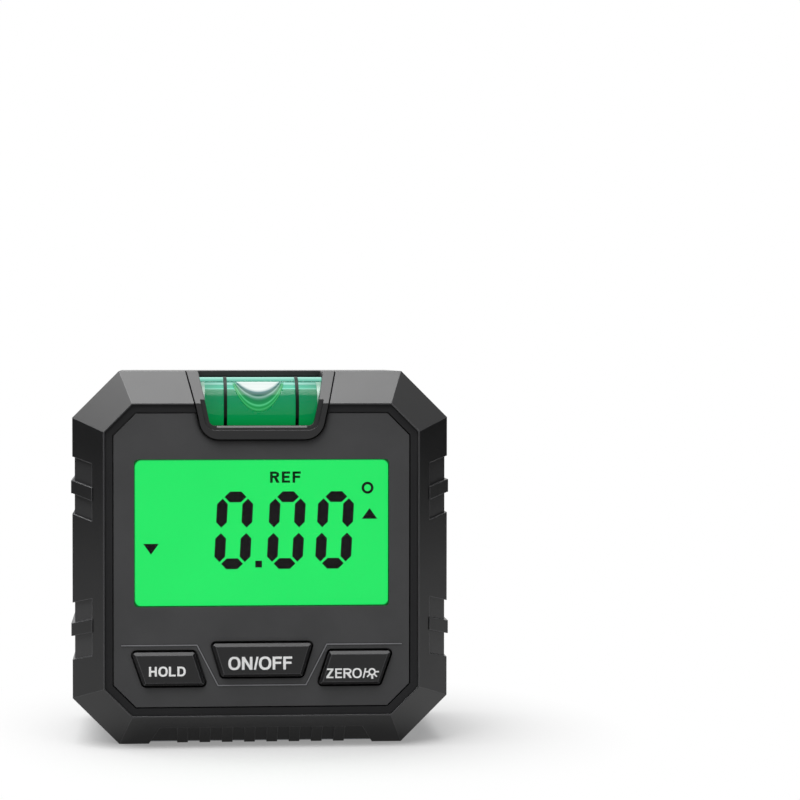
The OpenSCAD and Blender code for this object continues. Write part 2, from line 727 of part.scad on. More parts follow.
module foot_recess() {
  difference() {
    plate(-over, body_d / 2 - base_hd)
      polygon([
        [-foot_recess_low, -over], [foot_recess_low, -over], [foot_recess_low, 0],
        [foot_recess_high, foot_recess_h], [-foot_recess_high, foot_recess_h], [-foot_recess_low, 0]
      ]);
    bevelled(foot_recess_d, -over - over, body_d / 2, foot_shift);
  }
}

module foot_rib_bars() {
  intersection() {
    for (i = [0 : foot_ribs - 1])
      translate([(i - (foot_ribs - 1) / 2) * foot_rib_pitch, 0, 0])
        block(-foot_rib_w / 2, foot_rib_w / 2, 0, foot_recess_h, 0, body_d / 2 - base_hd);
    bevelled(foot_rib_d, 0, body_d / 2, foot_rib_shift);
  }
}

// Outline of the vial trim, grown by g on its lower sides and run past the top face by e
module trim_outline(g, e) {
  lean_hi = (trim_hw_hi - trim_hw_mid) / (body_h - crest_z);
  lean_lo = (trim_hw_mid - trim_hw_lo) / (crest_z - trim_lo);
  lo = trim_hw_lo - lean_lo * g + g;
  top = [trim_hw_hi + lean_hi * e + g, body_h + e];
  knee = [trim_hw_mid + g, crest_z];
  corner = [lo, trim_lo - g];
  left = [-lo, trim_lo - g];
  r = trim_r + g;
  a = from_b(knee, corner, left, r);
  b = from_b(left, corner, knee, r);
  c = arc_centre(knee, corner, left, r);
  polygon([top, [-top.x, top.y], [-knee.x, knee.y], [-a.x, a.y], [-b.x, b.y], b, a, knee]);
  translate(c)
    circle(r = r);
  translate([-c.x, c.y])
    circle(r = r);
}

// Outline of the vial opening, grown by g, with its lower corners rounded to radius r
module pocket_outline(g, r) {
  lean = (pocket_hw_hi - pocket_hw_lo) / (body_h - sill_z);
  lo = pocket_hw_lo - lean * g + g;
  top = [pocket_hw_hi + lean * over + g, body_h + over];
  corner = [lo, sill_z - g];
  left = [-lo, sill_z - g];
  if (r > 0) {
    a = from_b(top, corner, left, r);
    b = from_b(left, corner, top, r);
    c = arc_centre(top, corner, left, r);
    polygon([top, [-top.x, top.y], [-a.x, a.y], [-b.x, b.y], b, a]);
    translate(c)
      circle(r = r);
    translate([-c.x, c.y])
      circle(r = r);
  } else
    polygon([top, [-top.x, top.y], left, corner]);
}

module base_opening() {
  translate([-body_w / 2 - over, -base_hd - slack, -over])
    cube([body_w + over + over, base_hd + base_hd + slack + slack, base_h + slack + over]);
}

// Slot that holds the retaining lips of the base block
module lip_slot() {
  translate([-lip_hw - slack, -lip_hd - slack, lip_lo - slack])
    cube([
      lip_hw + lip_hw + slack + slack, lip_hd + lip_hd + slack + slack,
      lip_hi - lip_lo + slack + slack
    ]);
}

module front_frame() {
  color("#2c2c2e")
    difference() {
      union() {
        difference() {
          union() {
            difference() {
              bevelled(0, 0, split_d, 0);
              grip_recesses();
              foot_recess();
            }
            intersection() {
              grip_ribs();
              plate(0, split_d)
                polygon(octagon_points(-over));
            }
            foot_rib_bars();
          }
          bevelled(wall, ledge_back_d, split_d + over, wall_shift);
        }
        for (x = [-post_x, post_x], z = [post_lo, post_hi])
          rod(x, z, post_r, ledge_back_d - slack, board_face_d);
        for (x = [-boss_x, boss_x], z = [boss_lo, boss_hi])
          rod(x, z, boss_front_r, ledge_back_d - slack, split_d);
      }
      plate(-over, panel_back_d)
        polygon(octagon_points(bevel_in + crest_flat));
      plate(-over, split_d)
        polygon(octagon_points(ledge_in));
      body_cut(seam_c, seam_c, split_d, -1);
      plate(-over - bevel_d, holder_back_d + trim_gap)
        trim_outline(trim_gap, over);
      for (x = [-post_x, post_x], z = [post_lo, post_hi])
        rod(x, z, board_hole_r, ledge_back_d + seam_c, board_face_d + over);
      for (x = [-boss_x, boss_x], z = [boss_lo, boss_hi])
        rod(x, z, case_hole_r, seat_d - case_screw_l - seam_c, split_d + over);
      base_opening();
      lip_slot();
    }
}

module rear_shell() {
  color("#2c2c2e")
    difference() {
      union() {
        difference() {
          plate(split_d, body_d)
            polygon(octagon_points(0));
          grip_recesses();
          plate(split_d - over, rear_wall_d)
            polygon(octagon_points(wall));
        }
        intersection() {
          grip_ribs();
          plate(split_d, body_d)
            polygon(octagon_points(-over));
        }
        block(
          -tray_hw - tray_wall, tray_hw + tray_wall, tray_z - tray_hh - tray_wall,
          tray_z + tray_hh + tray_wall, tray_floor_d - tray_wall, body_d - seam_c
        );
        block(
          -tray_hw - seat_past - seat_wall, tray_hw + seat_past + seat_wall,
          tray_z - tray_hh - seat_past - seat_wall, tray_z + tray_hh + seat_past + seat_wall,
          seat_front_d, body_d - seam_c
        );
        for (x = [-boss_x, boss_x], z = [boss_lo, boss_hi])
          rod(x, z, boss_rear_r, split_d, body_d - seam_c);
      }
      body_cut(seam_c, seam_c, split_d, 1);
      body_cut(rear_bevel, rear_bevel, body_d, -1);
      block(-tray_hw, tray_hw, tray_z - tray_hh, tray_z + tray_hh, tray_floor_d, body_d + over);
      block(
        -tray_hw - seat_past, tray_hw + seat_past, tray_z - tray_hh - seat_past,
        tray_z + tray_hh + seat_past, ledge_d, body_d + over
      );
      rod(0, tray_z + tray_hh + seat_past, notch_r, ledge_d, body_d + over);
      for (x = [-boss_x, boss_x], z = [boss_lo, boss_hi]) {
        rod(x, z, case_hole_r, split_d - over, seat_d + over);
        rod(x, z, counter_r, seat_d, body_d + over);
      }
      for (s = [[1, cell_hi_z], [1, cell_lo_z]])
        block(
          contact_x - slack, tray_hw + slack, s[1] - tab_hh - slack, s[1] + tab_hh + slack,
          tray_floor_d - tray_wall - over, tray_floor_d + over
        );
      base_opening();
    }
}

module panel_seal() {
  color("#222223")
    difference() {
      plate(rim_face_d, panel_back_d)
        polygon(octagon_points(bevel_in + crest_flat + slack));
      plate(rim_face_d - over, panel_back_d + over)
        polygon(octagon_points(panel_in - rim_gap));
      plate(rim_face_d - over, panel_back_d + over)
        trim_outline(trim_gap, over);
    }
}

module front_panel() {
  color("#404041")
    difference() {
      plate(panel_face_d, panel_back_d)
        polygon(octagon_points(panel_in));
      plate(panel_face_d - over, panel_back_d + over)
        trim_outline(trim_gap, over);
      plate(panel_face_d - over, panel_back_d + over)
        rounded([
          [-window_hw, window_lo], [window_hw, window_lo], [window_hw, window_hi], [-window_hw, window_hi]
        ], window_r);
      for (p = [power_points, zero_points, hold_points])
        plate(panel_face_d - over, panel_back_d + over)
          rounded(p, key_r);
    }
}

module panel_line() {
  run = [(line_in - line_foot), line_hi - line_lo];
  side = norm(run) * line_w / run.y;
  color("#5c5c5e")
    plate(panel_face_d - line_h, panel_face_d)
      polygon([
        [-line_out, line_hi], [-line_in, line_hi], [-line_foot, line_lo], [line_foot, line_lo],
        [line_in, line_hi], [line_out, line_hi], [line_out, line_hi - line_w],
        [line_in + side - line_w * run.x / run.y, line_hi - line_w],
        [line_foot + side - line_w * run.x / run.y, line_lo - line_w],
        [-line_foot - side + line_w * run.x / run.y, line_lo - line_w],
        [-line_in - side + line_w * run.x / run.y, line_hi - line_w], [-line_out, line_hi - line_w]
      ]);
}

// Side profile of the seat of the vial, open to the rear
module vial_slot(r) {
  circle(r = r);
  translate([0, -r])
    square([holder_back_d - vial_axis_d + over, r + r]);
}

module vial_bezel() {
  color("#262627")
    difference() {
      union() {
        difference() {
          plate(-trim_out, holder_back_d)
            trim_outline(0, 0);
          edge_cut(octagon_points(0)[4], octagon_points(0)[5], bevel_in, bevel_d, -trim_out, 1);
        }
        block(-holder_hw, holder_hw, holder_lo, holder_step_z, panel_back_d + trim_gap, holder_back_d);
        block(-holder_hw, holder_hw, holder_lo, holder_hi, ledge_back_d + trim_gap, holder_back_d);
      }
      plate(-trim_out - over, rebate_d)
        pocket_outline(rebate_in, pocket_r + rebate_in);
      plate(rebate_d - over, lip_back_d)
        pocket_outline(0, pocket_r);
      edge_cut([sill_hw, sill_z], [-sill_hw, sill_z], sill_c, sill_c, rebate_d, 1);
      plate(lip_back_d - slack, pocket_back_d)
        pocket_outline(0, 0);
      translate([-vial_hl - slack, crest_y + vial_axis_d, vial_z])
        rotate([90, 0, 90])
          linear_extrude(height = vial_hl + vial_hl + slack + slack)
            vial_slot(vial_r + ring_t + slack);
    }
}

module vial_back() {
  color("#1c1c1d")
    block(-vial_hl, vial_hl, vial_z - vial_r, vial_z + vial_r, pocket_back_d, holder_back_d);
}

// Rod along the width from x0 to x1 at the vial axis
module vial_rod(x0, x1, r) {
  translate([x0, crest_y + vial_axis_d, vial_z])
    rotate([0, 90, 0])
      cylinder(r = r, h = x1 - x0);
}

module vial_tube() {
  color("#d8f5ea")
    difference() {
      vial_rod(-vial_hl, vial_hl, vial_r);
      vial_rod(-vial_hl - over, vial_hl + over, vial_bore_r);
    }
}

module bubble() {
  half = bubble_l / 2 - bubble_r;
  translate([0, crest_y + vial_axis_d, vial_z + bubble_up]) {
    translate([-half, 0, 0])
      rotate([0, 90, 0])
        cylinder(r = bubble_r, h = half + half);
    for (x = [-half, half])
      translate([x, 0, 0])
        sphere(r = bubble_r);
  }
}

module vial_fluid() {
  color("#12b36a")
    difference() {
      vial_rod(-vial_hl + plug_l, vial_hl - plug_l, vial_bore_r - slack / 2);
      bubble();
    }
}

module vial_ring(x) {
  color("#141414")
    difference() {
      vial_rod(x - ring_w / 2, x + ring_w / 2, vial_r + ring_t);
      vial_rod(x - ring_w, x + ring_w, vial_r);
    }
}

module vial_ring_left() {
  vial_ring(-ring_x);
}

module vial_ring_right() {
  vial_ring(ring_x);
}

module vial_plug_left() {
  color("#e8e8e4")
    vial_rod(-vial_hl, -vial_hl + plug_l - slack, vial_bore_r - slack / 2);
}

module vial_plug_right() {
  color("#e8e8e4")
    vial_rod(vial_hl - plug_l + slack, vial_hl, vial_bore_r - slack / 2);
}

module window_outline(g, r) {
  rounded([
    [-window_hw - g, window_lo - g], [window_hw + g, window_lo - g],
    [window_hw + g, window_hi + g], [-window_hw - g, window_hi + g]
  ], r);
}

module display_lens() {
  color("#bfeccb")
    union() {
      plate(lens_face_d, lens_back_d)
        window_outline(-lens_gap, window_r - lens_gap);
      plate(panel_back_d + slack, lens_back_d)
        window_outline(lens_flange, window_r);
    }
}

module lcd_glass() {
  color("#2bea66")
    block(-glass_hw, glass_hw, glass_lo, glass_hi, glass_face_d, glass_face_d + glass_t);
}

// One pointed bar of length l along z, centred at c and leaning with its digit
module bar(c, l, flat) {
  t = bar_w / 2;
  h = l / 2;
  raw = flat
    ? [[-h, 0], [t - h, -t], [h - t, -t], [h, 0], [h - t, t], [t - h, t]]
    : [[0, -h], [t, t - h], [t, h - t], [0, h], [-t, h - t], [-t, t - h]];
  polygon([for (p = raw) [c.x + p.x + (c.y + p.y) * tan(digit_lean), digit_z + c.y + p.y]]);
}

module zero_digit(x) {
  translate([x, 0]) {
    for (s = [-1, 1])
      bar([0, s * digit_bar_z], bar_l, true);
    for (s = [-1, 1], t = [-1, 1])
      bar([s * digit_w / 2, t * digit_col_z], col_l, false);
  }
}

module lcd_segments() {
  color("#2a2428")
    plate(glass_face_d - mark_t, glass_face_d) {
      zero_digit(digit_1);
      zero_digit(digit_2);
      zero_digit(digit_3);
      translate([point_x - point_w / 2, point_z - point_w / 2])
        square(point_w);
      translate([degree_x, degree_z])
        difference() {
          circle(r = degree_r);
          circle(r = degree_r - degree_w);
        }
      translate([arrow_right, arrow_right_z])
        polygon([[-arrow_w / 2, 0], [arrow_w / 2, 0], [0, arrow_h]]);
      translate([arrow_left, arrow_left_z])
        polygon([[-arrow_w / 2, 0], [0, -arrow_h], [arrow_w / 2, 0]]);
    }
}

module lcd_carrier() {
  color("#d9dad6")
    difference() {
      block(
        -carrier_hw, carrier_hw, glass_lo - carrier_past, glass_hi + carrier_past - slack - slack,
        ledge_back_d + slack, board_face_d
      );
      block(
        -glass_hw - slack, glass_hw + slack, glass_lo - slack, glass_hi + slack,
        glass_face_d - over, guide_face_d
      );
      block(
        -carrier_hole, carrier_hole, glass_lo - slack, glass_hi + slack,
        guide_face_d - slack, board_face_d + over
      );
    }
}

module backlight_panel() {
  color("#e8f7e9")
    block(-guide_hw, guide_hw, guide_lo, guide_hi, guide_face_d, guide_face_d + guide_t);
}

module backlight_lamp() {
  color("#f2f2d8")
    block(
      -guide_hw - slack - lamp_t, -guide_hw - slack, digit_z - lamp_l / 2, digit_z + lamp_l / 2,
      guide_face_d + slack, board_face_d
    );
}

module contact_strip() {
  color("#5b2f33")
    block(
      -strip_hl, strip_hl, glass_lo + slack, glass_lo + slack + strip_t,
      glass_face_d + glass_t, board_face_d
    );
}

// Key for the opening p, with its stem at c
module key(p, c) {
  cap = grown(p, -key_gap);
  difference() {
    union() {
      plate(key_face_d, flange_face_d + flange_t)
        rounded(cap, key_r - key_gap);
      plate(flange_face_d, flange_face_d + flange_t)
        rounded(grown(cap, flange_out), key_r);
      rod(c.x, c.y, stem_r, flange_face_d, stem_end_d);
    }
    bevel_cut(cap, key_chamfer, key_chamfer, key_face_d, 1);
  }
}

module hold_key() {
  color("#2a2a2b")
    key(hold_points, [-side_switch_x, side_switch_z]);
}

module power_key() {
  color("#2a2a2b")
    key(power_points, [0, power_switch_z]);
}

module zero_key() {
  color("#2a2a2b")
    key(zero_points, [side_switch_x, side_switch_z]);
}

module hold_plunger() {
  color("#1d1d1e")
    rod(-side_switch_x, side_switch_z, plunger_r, stem_end_d, plunger_end_d);
}

module power_plunger() {
  color("#1d1d1e")
    rod(0, power_switch_z, plunger_r, stem_end_d, plunger_end_d);
}

module zero_plunger() {
  color("#1d1d1e")
    rod(side_switch_x, side_switch_z, plunger_r, stem_end_d, plunger_end_d);
}

module switch(x, z) {
  color("#b9bcc0")
    difference() {
      block(
        x - switch_w / 2, x + switch_w / 2, z - switch_w / 2, z + switch_w / 2,
        switch_face_d, board_face_d
      );
      rod(x, z, plunger_r + plunger_fit, switch_face_d - over, plunger_hole_d);
    }
}

module hold_switch() {
  switch(-side_switch_x, side_switch_z);
}

module power_switch() {
  switch(0, power_switch_z);
}

module zero_switch() {
  switch(side_switch_x, side_switch_z);
}

module main_board() {
  color("#1f6b3a")
    difference() {
      plate(board_face_d, board_back_d)
        polygon([
          [-board_low_hw, board_lo], [board_low_hw, board_lo], [board_low_hw, board_step],
          [board_hw, board_step], [board_hw, board_hi], [-board_hw, board_hi],
          [-board_hw, board_step], [-board_low_hw, board_step]
        ]);
      for (x = [-post_x, post_x], z = [post_lo, post_hi])
        rod(x, z, board_hole_r, board_face_d - over, board_back_d + over);
    }
}

module controller_chip() {
  color("#18181a")
    block(
      chip_x - chip_w / 2, chip_x + chip_w / 2, chip_z - chip_w / 2, chip_z + chip_w / 2,
      board_back_d, board_back_d + chip_t
    );
}

module tilt_sensor() {
  color("#3b3b3f")
    block(
      sensor_x - sensor_w / 2, sensor_x + sensor_w / 2, chip_z - sensor_w / 2, chip_z + sensor_w / 2,
      board_back_d, board_back_d + chip_t
    );
}

module timing_crystal() {
  color("#c8cacc")
    translate([-crystal_l / 2, crest_y + board_back_d + crystal_r, crystal_z])
      rotate([0, 90, 0])
        cylinder(r = crystal_r, h = crystal_l);
}

// Pan head screw from behind, head against depth f, with a cross slot
module screw(x, z, r, l, head_r, head_t, f) {
  color("#b7babd")
    difference() {
      union() {
        rod(x, z, r, f - l, f + slack);
        rod(x, z, head_r, f, f + head_t);
      }
      for (a = [[head_r * 2 / 3, slot_w / 2], [slot_w / 2, head_r * 2 / 3]])
        block(x - a.x, x + a.x, z - a.y, z + a.y, f + head_t - slot_d, f + head_t + over);
    }
}

module board_screw(x, z) {
  screw(x, z, board_screw_r, board_screw_l, small_head_r, small_head_t, board_back_d);
}

module board_screw_1() {
  board_screw(-post_x, post_lo);
}

module board_screw_2() {
  board_screw(post_x, post_lo);
}

module board_screw_3() {
  board_screw(-post_x, post_hi);
}

module board_screw_4() {
  board_screw(post_x, post_hi);
}

// Contact at the right end of the compartment for the cell at height z
module contact(z, tab) {
  x = contact_x;
  t = contact_t;
  union() {
    block(x, x + t, z - contact_hh, z + contact_hh, cell_axis_d - contact_hd, cell_axis_d + contact_hd);
    plate(cell_axis_d - tongue_hd, cell_axis_d + tongue_hd)
      polygon([
        [x + t / 2, z - tongue_hh - t], [tongue_x, z - tongue_tip - t / 2],
        [tongue_x, z + tongue_tip + t / 2],
        [x + t / 2, z + tongue_hh + t], [x + t / 2, z + tongue_hh], [tongue_x + t, z + tongue_tip],
        [tongue_x + t, z - tongue_tip], [x + t / 2, z - tongue_hh]
      ]);
    if (tab)
      block(x, x + t, z - tab_hh, z + tab_hh, tab_end_d, cell_axis_d);
  }
}

module contact_positive() {
  color("#cfc7a4")
    contact(cell_hi_z, true);
}

module contact_negative() {
  color("#cfc7a4")
    contact(cell_lo_z, true);
}

module contact_bridge() {
  color("#cfc7a4")
    mirror([1, 0, 0])
      union() {
        contact(cell_hi_z, false);
        contact(cell_lo_z, false);
        block(contact_x, tray_hw, cell_lo_z, cell_hi_z, cell_axis_d - contact_hd, cell_axis_d + contact_hd);
      }
}

module wire_positive() {
  color("#b3261e")
    rod(wire_x, cell_hi_z, wire_r, board_back_d, tray_floor_d - tray_wall - slack);
}

module wire_negative() {
  color("#202022")
    rod(wire_x, cell_lo_z, wire_r, board_back_d, tray_floor_d - tray_wall - slack);
}

// Cell along the width at height z with its raised terminal on side s
module cell(z, s) {
  body = cell_l - nub_h;
  translate([0, crest_y + cell_axis_d, z])
    rotate([0, s * 90, 0])
      union() {
        translate([0, 0, -cell_l / 2])
          cylinder(r = cell_r, h = body);
        translate([0, 0, -cell_l / 2])
          cylinder(r = nub_r, h = cell_l);
      }
}

module cell_upper() {
  color("#c78a3c")
    cell(cell_hi_z, 1);
}

module cell_lower() {
  color("#c78a3c")
    cell(cell_lo_z, -1);
}

module battery_cover() {
  color("#2c2c2e")
    difference() {
      union() {
        block(-cover_hw, cover_hw, tray_z - cover_hh, tray_z + cover_hh, cover_face_d, body_d);
        block(
          -latch_hw, latch_hw, tray_z + tray_hh - cover_gap - latch_t, tray_z + tray_hh - cover_gap,
          latch_end_d, cover_face_d + slack
        );
      }
      for (i = [-2 : 2])
        block(
          -groove_hl, groove_hl,
          tray_z + i * groove_pitch - groove_w / 2, tray_z + i * groove_pitch + groove_w / 2,
          body_d - groove_d, body_d + over
        );
    }
}

module case_screw(x, z) {
  screw(x, z, case_screw_r, case_screw_l, case_head_r, case_head_t, seat_d);
}

module case_screw_1() {
  case_screw(-boss_x, boss_lo);
}

module case_screw_2() {
  case_screw(boss_x, boss_lo);
}

module case_screw_3() {
  case_screw(-boss_x, boss_hi);
}

module case_screw_4() {
  case_screw(boss_x, boss_hi);
}

module magnet_rod(i, r, z0, z1) {
  translate([i.x * magnet_x, i.y * magnet_y, z0])
    cylinder(r = r, h = z1 - z0);
}

module base_block() {
  p = octagon_points(0);
  color("#8d9094")
    difference() {
      union() {
        translate([0, base_hd, 0])
          rotate([90, 0, 0])
            linear_extrude(height = base_hd + base_hd)
              polygon([p[0], p[1], [p[1].x + base_h, base_h], [p[0].x - base_h, base_h]]);
        translate([-lip_hw, -lip_hd, lip_lo])
          cube([lip_hw + lip_hw, lip_hd + lip_hd, lip_hi - lip_lo]);
      }
      translate([-body_w / 2, 0, 0])
        rotate([90, 0, 90])
          linear_extrude(height = body_w)
            polygon([
              [-groove_hw - over, -over], [groove_hw + over, -over], [groove_hw, 0],
              [groove_flat, groove_h], [-groove_flat, groove_h], [-groove_hw, 0]
            ]);
      for (i = [-1, 1], j = [-1, 1])
        magnet_rod([i, j], magnet_r + slack, -over, magnet_up + magnet_t + slack);
    }
}

module magnet(i) {
  color("#c9ccd0")
    magnet_rod(i, magnet_r, magnet_up, magnet_up + magnet_t);
}

module magnet_1() {
  magnet([-1, -1]);
}

module magnet_2() {
  magnet([1, -1]);
}

module magnet_3() {
  magnet([-1, 1]);
}

module magnet_4() {
  magnet([1, 1]);
}

front_frame();
rear_shell();
panel_seal();
front_panel();
panel_line();
vial_bezel();
vial_back();
vial_tube();
vial_fluid();
vial_ring_left();
vial_ring_right();
vial_plug_left();
vial_plug_right();
display_lens();
lcd_glass();
lcd_segments();
lcd_carrier();
backlight_panel();
backlight_lamp();
contact_strip();
hold_key();
power_key();
zero_key();
hold_plunger();
power_plunger();
zero_plunger();
hold_switch();
power_switch();
zero_switch();
main_board();
controller_chip();
tilt_sensor();
timing_crystal();
board_screw_1();
board_screw_2();
board_screw_3();
board_screw_4();
contact_bridge();
contact_positive();
contact_negative();
wire_positive();
wire_negative();
cell_upper();
cell_lower();
battery_cover();
case_screw_1();
case_screw_2();
case_screw_3();
case_screw_4();
base_block();
magnet_1();
magnet_2();
magnet_3();
magnet_4();
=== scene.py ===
"""Digital angle gauge: finishes, printed lettering, table top, lamp and camera.

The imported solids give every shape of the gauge. This script gives each of them its finish, adds
the printed marks and the vial's bubble as thin pieces, and lights the gauge softly from above.
"""
import json
import math

import bpy
import numpy as np
from mathutils import Matrix, Vector


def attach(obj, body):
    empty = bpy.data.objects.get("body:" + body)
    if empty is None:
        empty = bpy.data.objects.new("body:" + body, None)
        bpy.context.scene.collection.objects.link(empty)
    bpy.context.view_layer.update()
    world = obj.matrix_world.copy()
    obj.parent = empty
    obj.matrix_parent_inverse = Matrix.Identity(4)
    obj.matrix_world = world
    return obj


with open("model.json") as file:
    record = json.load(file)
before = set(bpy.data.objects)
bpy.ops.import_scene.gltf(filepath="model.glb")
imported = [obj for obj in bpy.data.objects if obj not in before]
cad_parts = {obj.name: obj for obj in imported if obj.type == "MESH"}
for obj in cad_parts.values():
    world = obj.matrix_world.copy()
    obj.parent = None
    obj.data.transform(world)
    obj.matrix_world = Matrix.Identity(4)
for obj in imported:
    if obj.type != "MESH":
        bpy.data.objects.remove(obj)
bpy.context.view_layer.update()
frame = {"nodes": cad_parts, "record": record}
MM = 0.001

# Places on the gauge, in millimetres
KEY_FACE_Y = -16.7              # front of the key caps
GLASS_FACE_Y = -13.4            # front of the display glass
VIAL_Y, VIAL_Z = -9.45, 53.8    # middle line of the vial
INK = 0.04                      # thickness of the printed marks

WHITE = (1, 1, 1, 1)

# Rays that see the white room and table, and rays that pass through the black cards
WHITE_SEEN_BY = ("Is Camera Ray", "Is Glossy Ray", "Is Transmission Ray")
CARD_PASSED_BY = ("Is Camera Ray", "Is Transmission Ray")


# ---------------------------------------------------------------- node trees
def linear(text):
    """Linear colour of a six-digit screen colour: each share is c/12.92 up to 0.04045, and
    otherwise ((c + 0.055) / 1.055) to the power of 2.4."""
    c = np.array([int(text[i:i + 2], 16) for i in (0, 2, 4)]) / 255
    c = np.where(c <= 0.04045, c / 12.92, ((c + 0.055) / 1.055) ** 2.4)
    return (*c.tolist(), 1.0)


def shade(colour, share):
    """The colour with its light multiplied by share."""
    return tuple(v * share for v in colour[:3]) + (1.0,)


class Tree:
    """Node tree of a material or world, with short ways to add its nodes."""

    def __init__(self, owner):
        owner.use_nodes = True
        self.nodes = owner.node_tree.nodes
        self.links = owner.node_tree.links

    def put(self, value, socket):
        """Links an output to the socket, or writes a plain value into it."""
        if isinstance(value, bpy.types.NodeSocket):
            self.links.new(value, socket)
        else:
            socket.default_value = value

    def node(self, kind, inputs=None, **settings):
        """New node with these settings, and these inputs by name or number."""
        node = self.nodes.new("ShaderNode" + kind)
        for name, value in settings.items():
            setattr(node, name, value)
        for slot, value in (inputs or {}).items():
            self.put(value, node.inputs[slot])
        return node

    def maths(self, operation, a, b=0.0):
        """Result of a math node on two outputs or numbers."""
        return self.node("Math", {0: a, 1: b}, operation=operation).outputs[0]

    def rays(self, kinds):
        """1 for rays of these kinds and 0 for all others: the largest of their flags."""
        path = self.node("LightPath")
        seen = path.outputs[kinds[0]]
        for kind in kinds[1:]:
            seen = self.maths("MAXIMUM", seen, path.outputs[kind])
        return seen

    def mixed(self, fac, a, b):
        """Shader a where fac is 0, and b where it is 1."""
        return self.node("MixShader", {"Fac": fac, 1: a, 2: b}).outputs[0]


class Finish(Tree):
    """Material with one surface shader; its nodes read Object coordinates in metres."""

    def __init__(self, name):
        self.mat = bpy.data.materials.new(name)
        super().__init__(self.mat)
        self.shader = self.nodes["Principled BSDF"]
        self.place = self.node("TexCoord").outputs["Object"]

    def look(self, **inputs):
        """Puts values or outputs on the shader's inputs, with _ for a space in their names."""
        for name, value in inputs.items():
            self.put(value, self.shader.inputs[name.replace("_", " ")])
        return self.mat

    def surface(self, shader):
        """Makes that shader the material's surface."""
        self.put(shader, self.nodes["Material Output"].inputs["Surface"])

    def noise(self, size, detail=2.0, stretch=(1, 1, 1)):
        """Noise whose lumps are about size millimetres wide, drawn out by stretch."""
        mapped = self.node("Mapping", {"Vector": self.place, "Scale": [1 / v for v in stretch]})
        return self.node("TexNoise", {
            "Vector": mapped.outputs["Vector"], "Scale": 1 / (size * MM), "Detail": detail,
        }).outputs["Fac"]

    def spread(self, fac, low, high, at_low=0.35, at_high=0.65):
        """Maps fac from at_low..at_high, by default the usual span of a noise, to low..high."""
        return self.node("MapRange", {
            "Value": fac, "From Min": at_low, "From Max": at_high, "To Min": low, "To Max": high,
        }).outputs["Result"]

    def blend(self, fac, a, b):
        """Colour a where fac is 0, and b where it is 1."""
        node = self.node("Mix", {"Factor": fac}, data_type="RGBA")
        for name, value in (("A", a), ("B", b)):
            self.put(value, next(s for s in node.inputs if s.name == name and s.type == "RGBA"))
        return next(s for s in node.outputs if s.type == "RGBA")

    def between(self, fac, a, b):
        """The same, for two six-digit screen colours."""
        return self.blend(fac, linear(a), linear(b))

    def ramp(self, fac, stops):
        """Colour along fac, from stops of place and six-digit colour that begin at 0 and end
        at 1."""
        node = self.node("ValToRGB", {"Fac": fac})
        band = node.color_ramp.elements
        for element, (at, text) in ((band[0], stops[0]), (band[1], stops[-1])):
            element.position, element.color = at, linear(text)
        for at, text in stops[1:-1]:
            band.new(at).color = linear(text)
        return node.outputs["Color"]

    def axes(self, vector=None):
        """Outputs X, Y and Z of a vector, or of the place."""
        return self.node("SeparateXYZ", {0: self.place if vector is None else vector}).outputs

    def vectors(self, operation, a, b=(0.0, 0.0, 0.0)):
        """Result of a vector math node: a number for DOT_PRODUCT and LENGTH, or a vector."""
        node = self.node("VectorMath", {0: a, 1: b}, operation=operation)
        return node.outputs["Value" if operation in ("DOT_PRODUCT", "LENGTH") else "Vector"]

    def rounded_normal(self, radius):
        """Normal of the surface as if its edges were rounded to radius mm."""
        return self.node("Bevel", {"Radius": radius * MM}, samples=6).outputs["Normal"]

    def edges(self, radius):
        """1 on edges within radius mm, where the rounded normal turns away from the true one,
        and 0 on the faces between them."""
        true_normal = self.node("NewGeometry").outputs["Normal"]
        agreement = self.vectors("DOT_PRODUCT", self.rounded_normal(radius), true_normal)
        return self.spread(agreement, 1.0, 0.0, 0.97, 0.999)

    def near_gap(self, reach=1.2):
        """1 right beside a gap or a taller neighbour within reach mm, and 0 on open faces."""
        node = self.node("AmbientOcclusion", {"Distance": reach * MM}, samples=8)
        return self.spread(node.outputs["AO"], 1.0, 0.0, 0.80, 0.90)

    def grip_recess(self):
        """1 in the slanted recesses of the side grips, and 0 on their ribs and elsewhere. A
        recess is a band of heights above and below mid_z that rise by slant over the depth
        inner from the side face, and its rib is a narrower band inside it."""
        side_x, inner, slant, mid_z, rear_y = 30.0, 3.2, 1.0, 29.8, 8.7
        recess, rib = (7.1, 16.2), (10.35, 12.4)
        at = self.axes()
        x = self.maths("ABSOLUTE", at["X"])
        z = self.maths("ABSOLUTE", self.maths("SUBTRACT", at["Z"], mid_z * MM))
        inwards = self.maths("SUBTRACT", side_x * MM, x)
        height = self.maths("ADD", z, self.maths("MULTIPLY", inwards, slant / inner))

        def in_band(test, band):
            middle, half = (band[0] + band[1]) / 2 * MM, (band[1] - band[0]) / 2 * MM
            off_middle = self.maths("ABSOLUTE", self.maths("SUBTRACT", height, middle))
            return self.maths(test, off_middle, half)

        mask = in_band("LESS_THAN", recess)
        for limit in (in_band("GREATER_THAN", rib),
                      self.maths("GREATER_THAN", x, (side_x - inner) * MM),
                      self.maths("LESS_THAN", at["Y"], rear_y * MM)):
            mask = self.maths("MULTIPLY", mask, limit)
        return mask

    def bump(self, fac, height, edge=0.0):
        """Normal with a relief of height mm over fac; edges catch light as if rounded to edge
        mm."""
        node = self.node("Bump", {"Distance": height * MM, "Height": fac})
        if edge:
            self.put(self.rounded_normal(edge), node.inputs["Normal"])
        return node.outputs["Normal"]


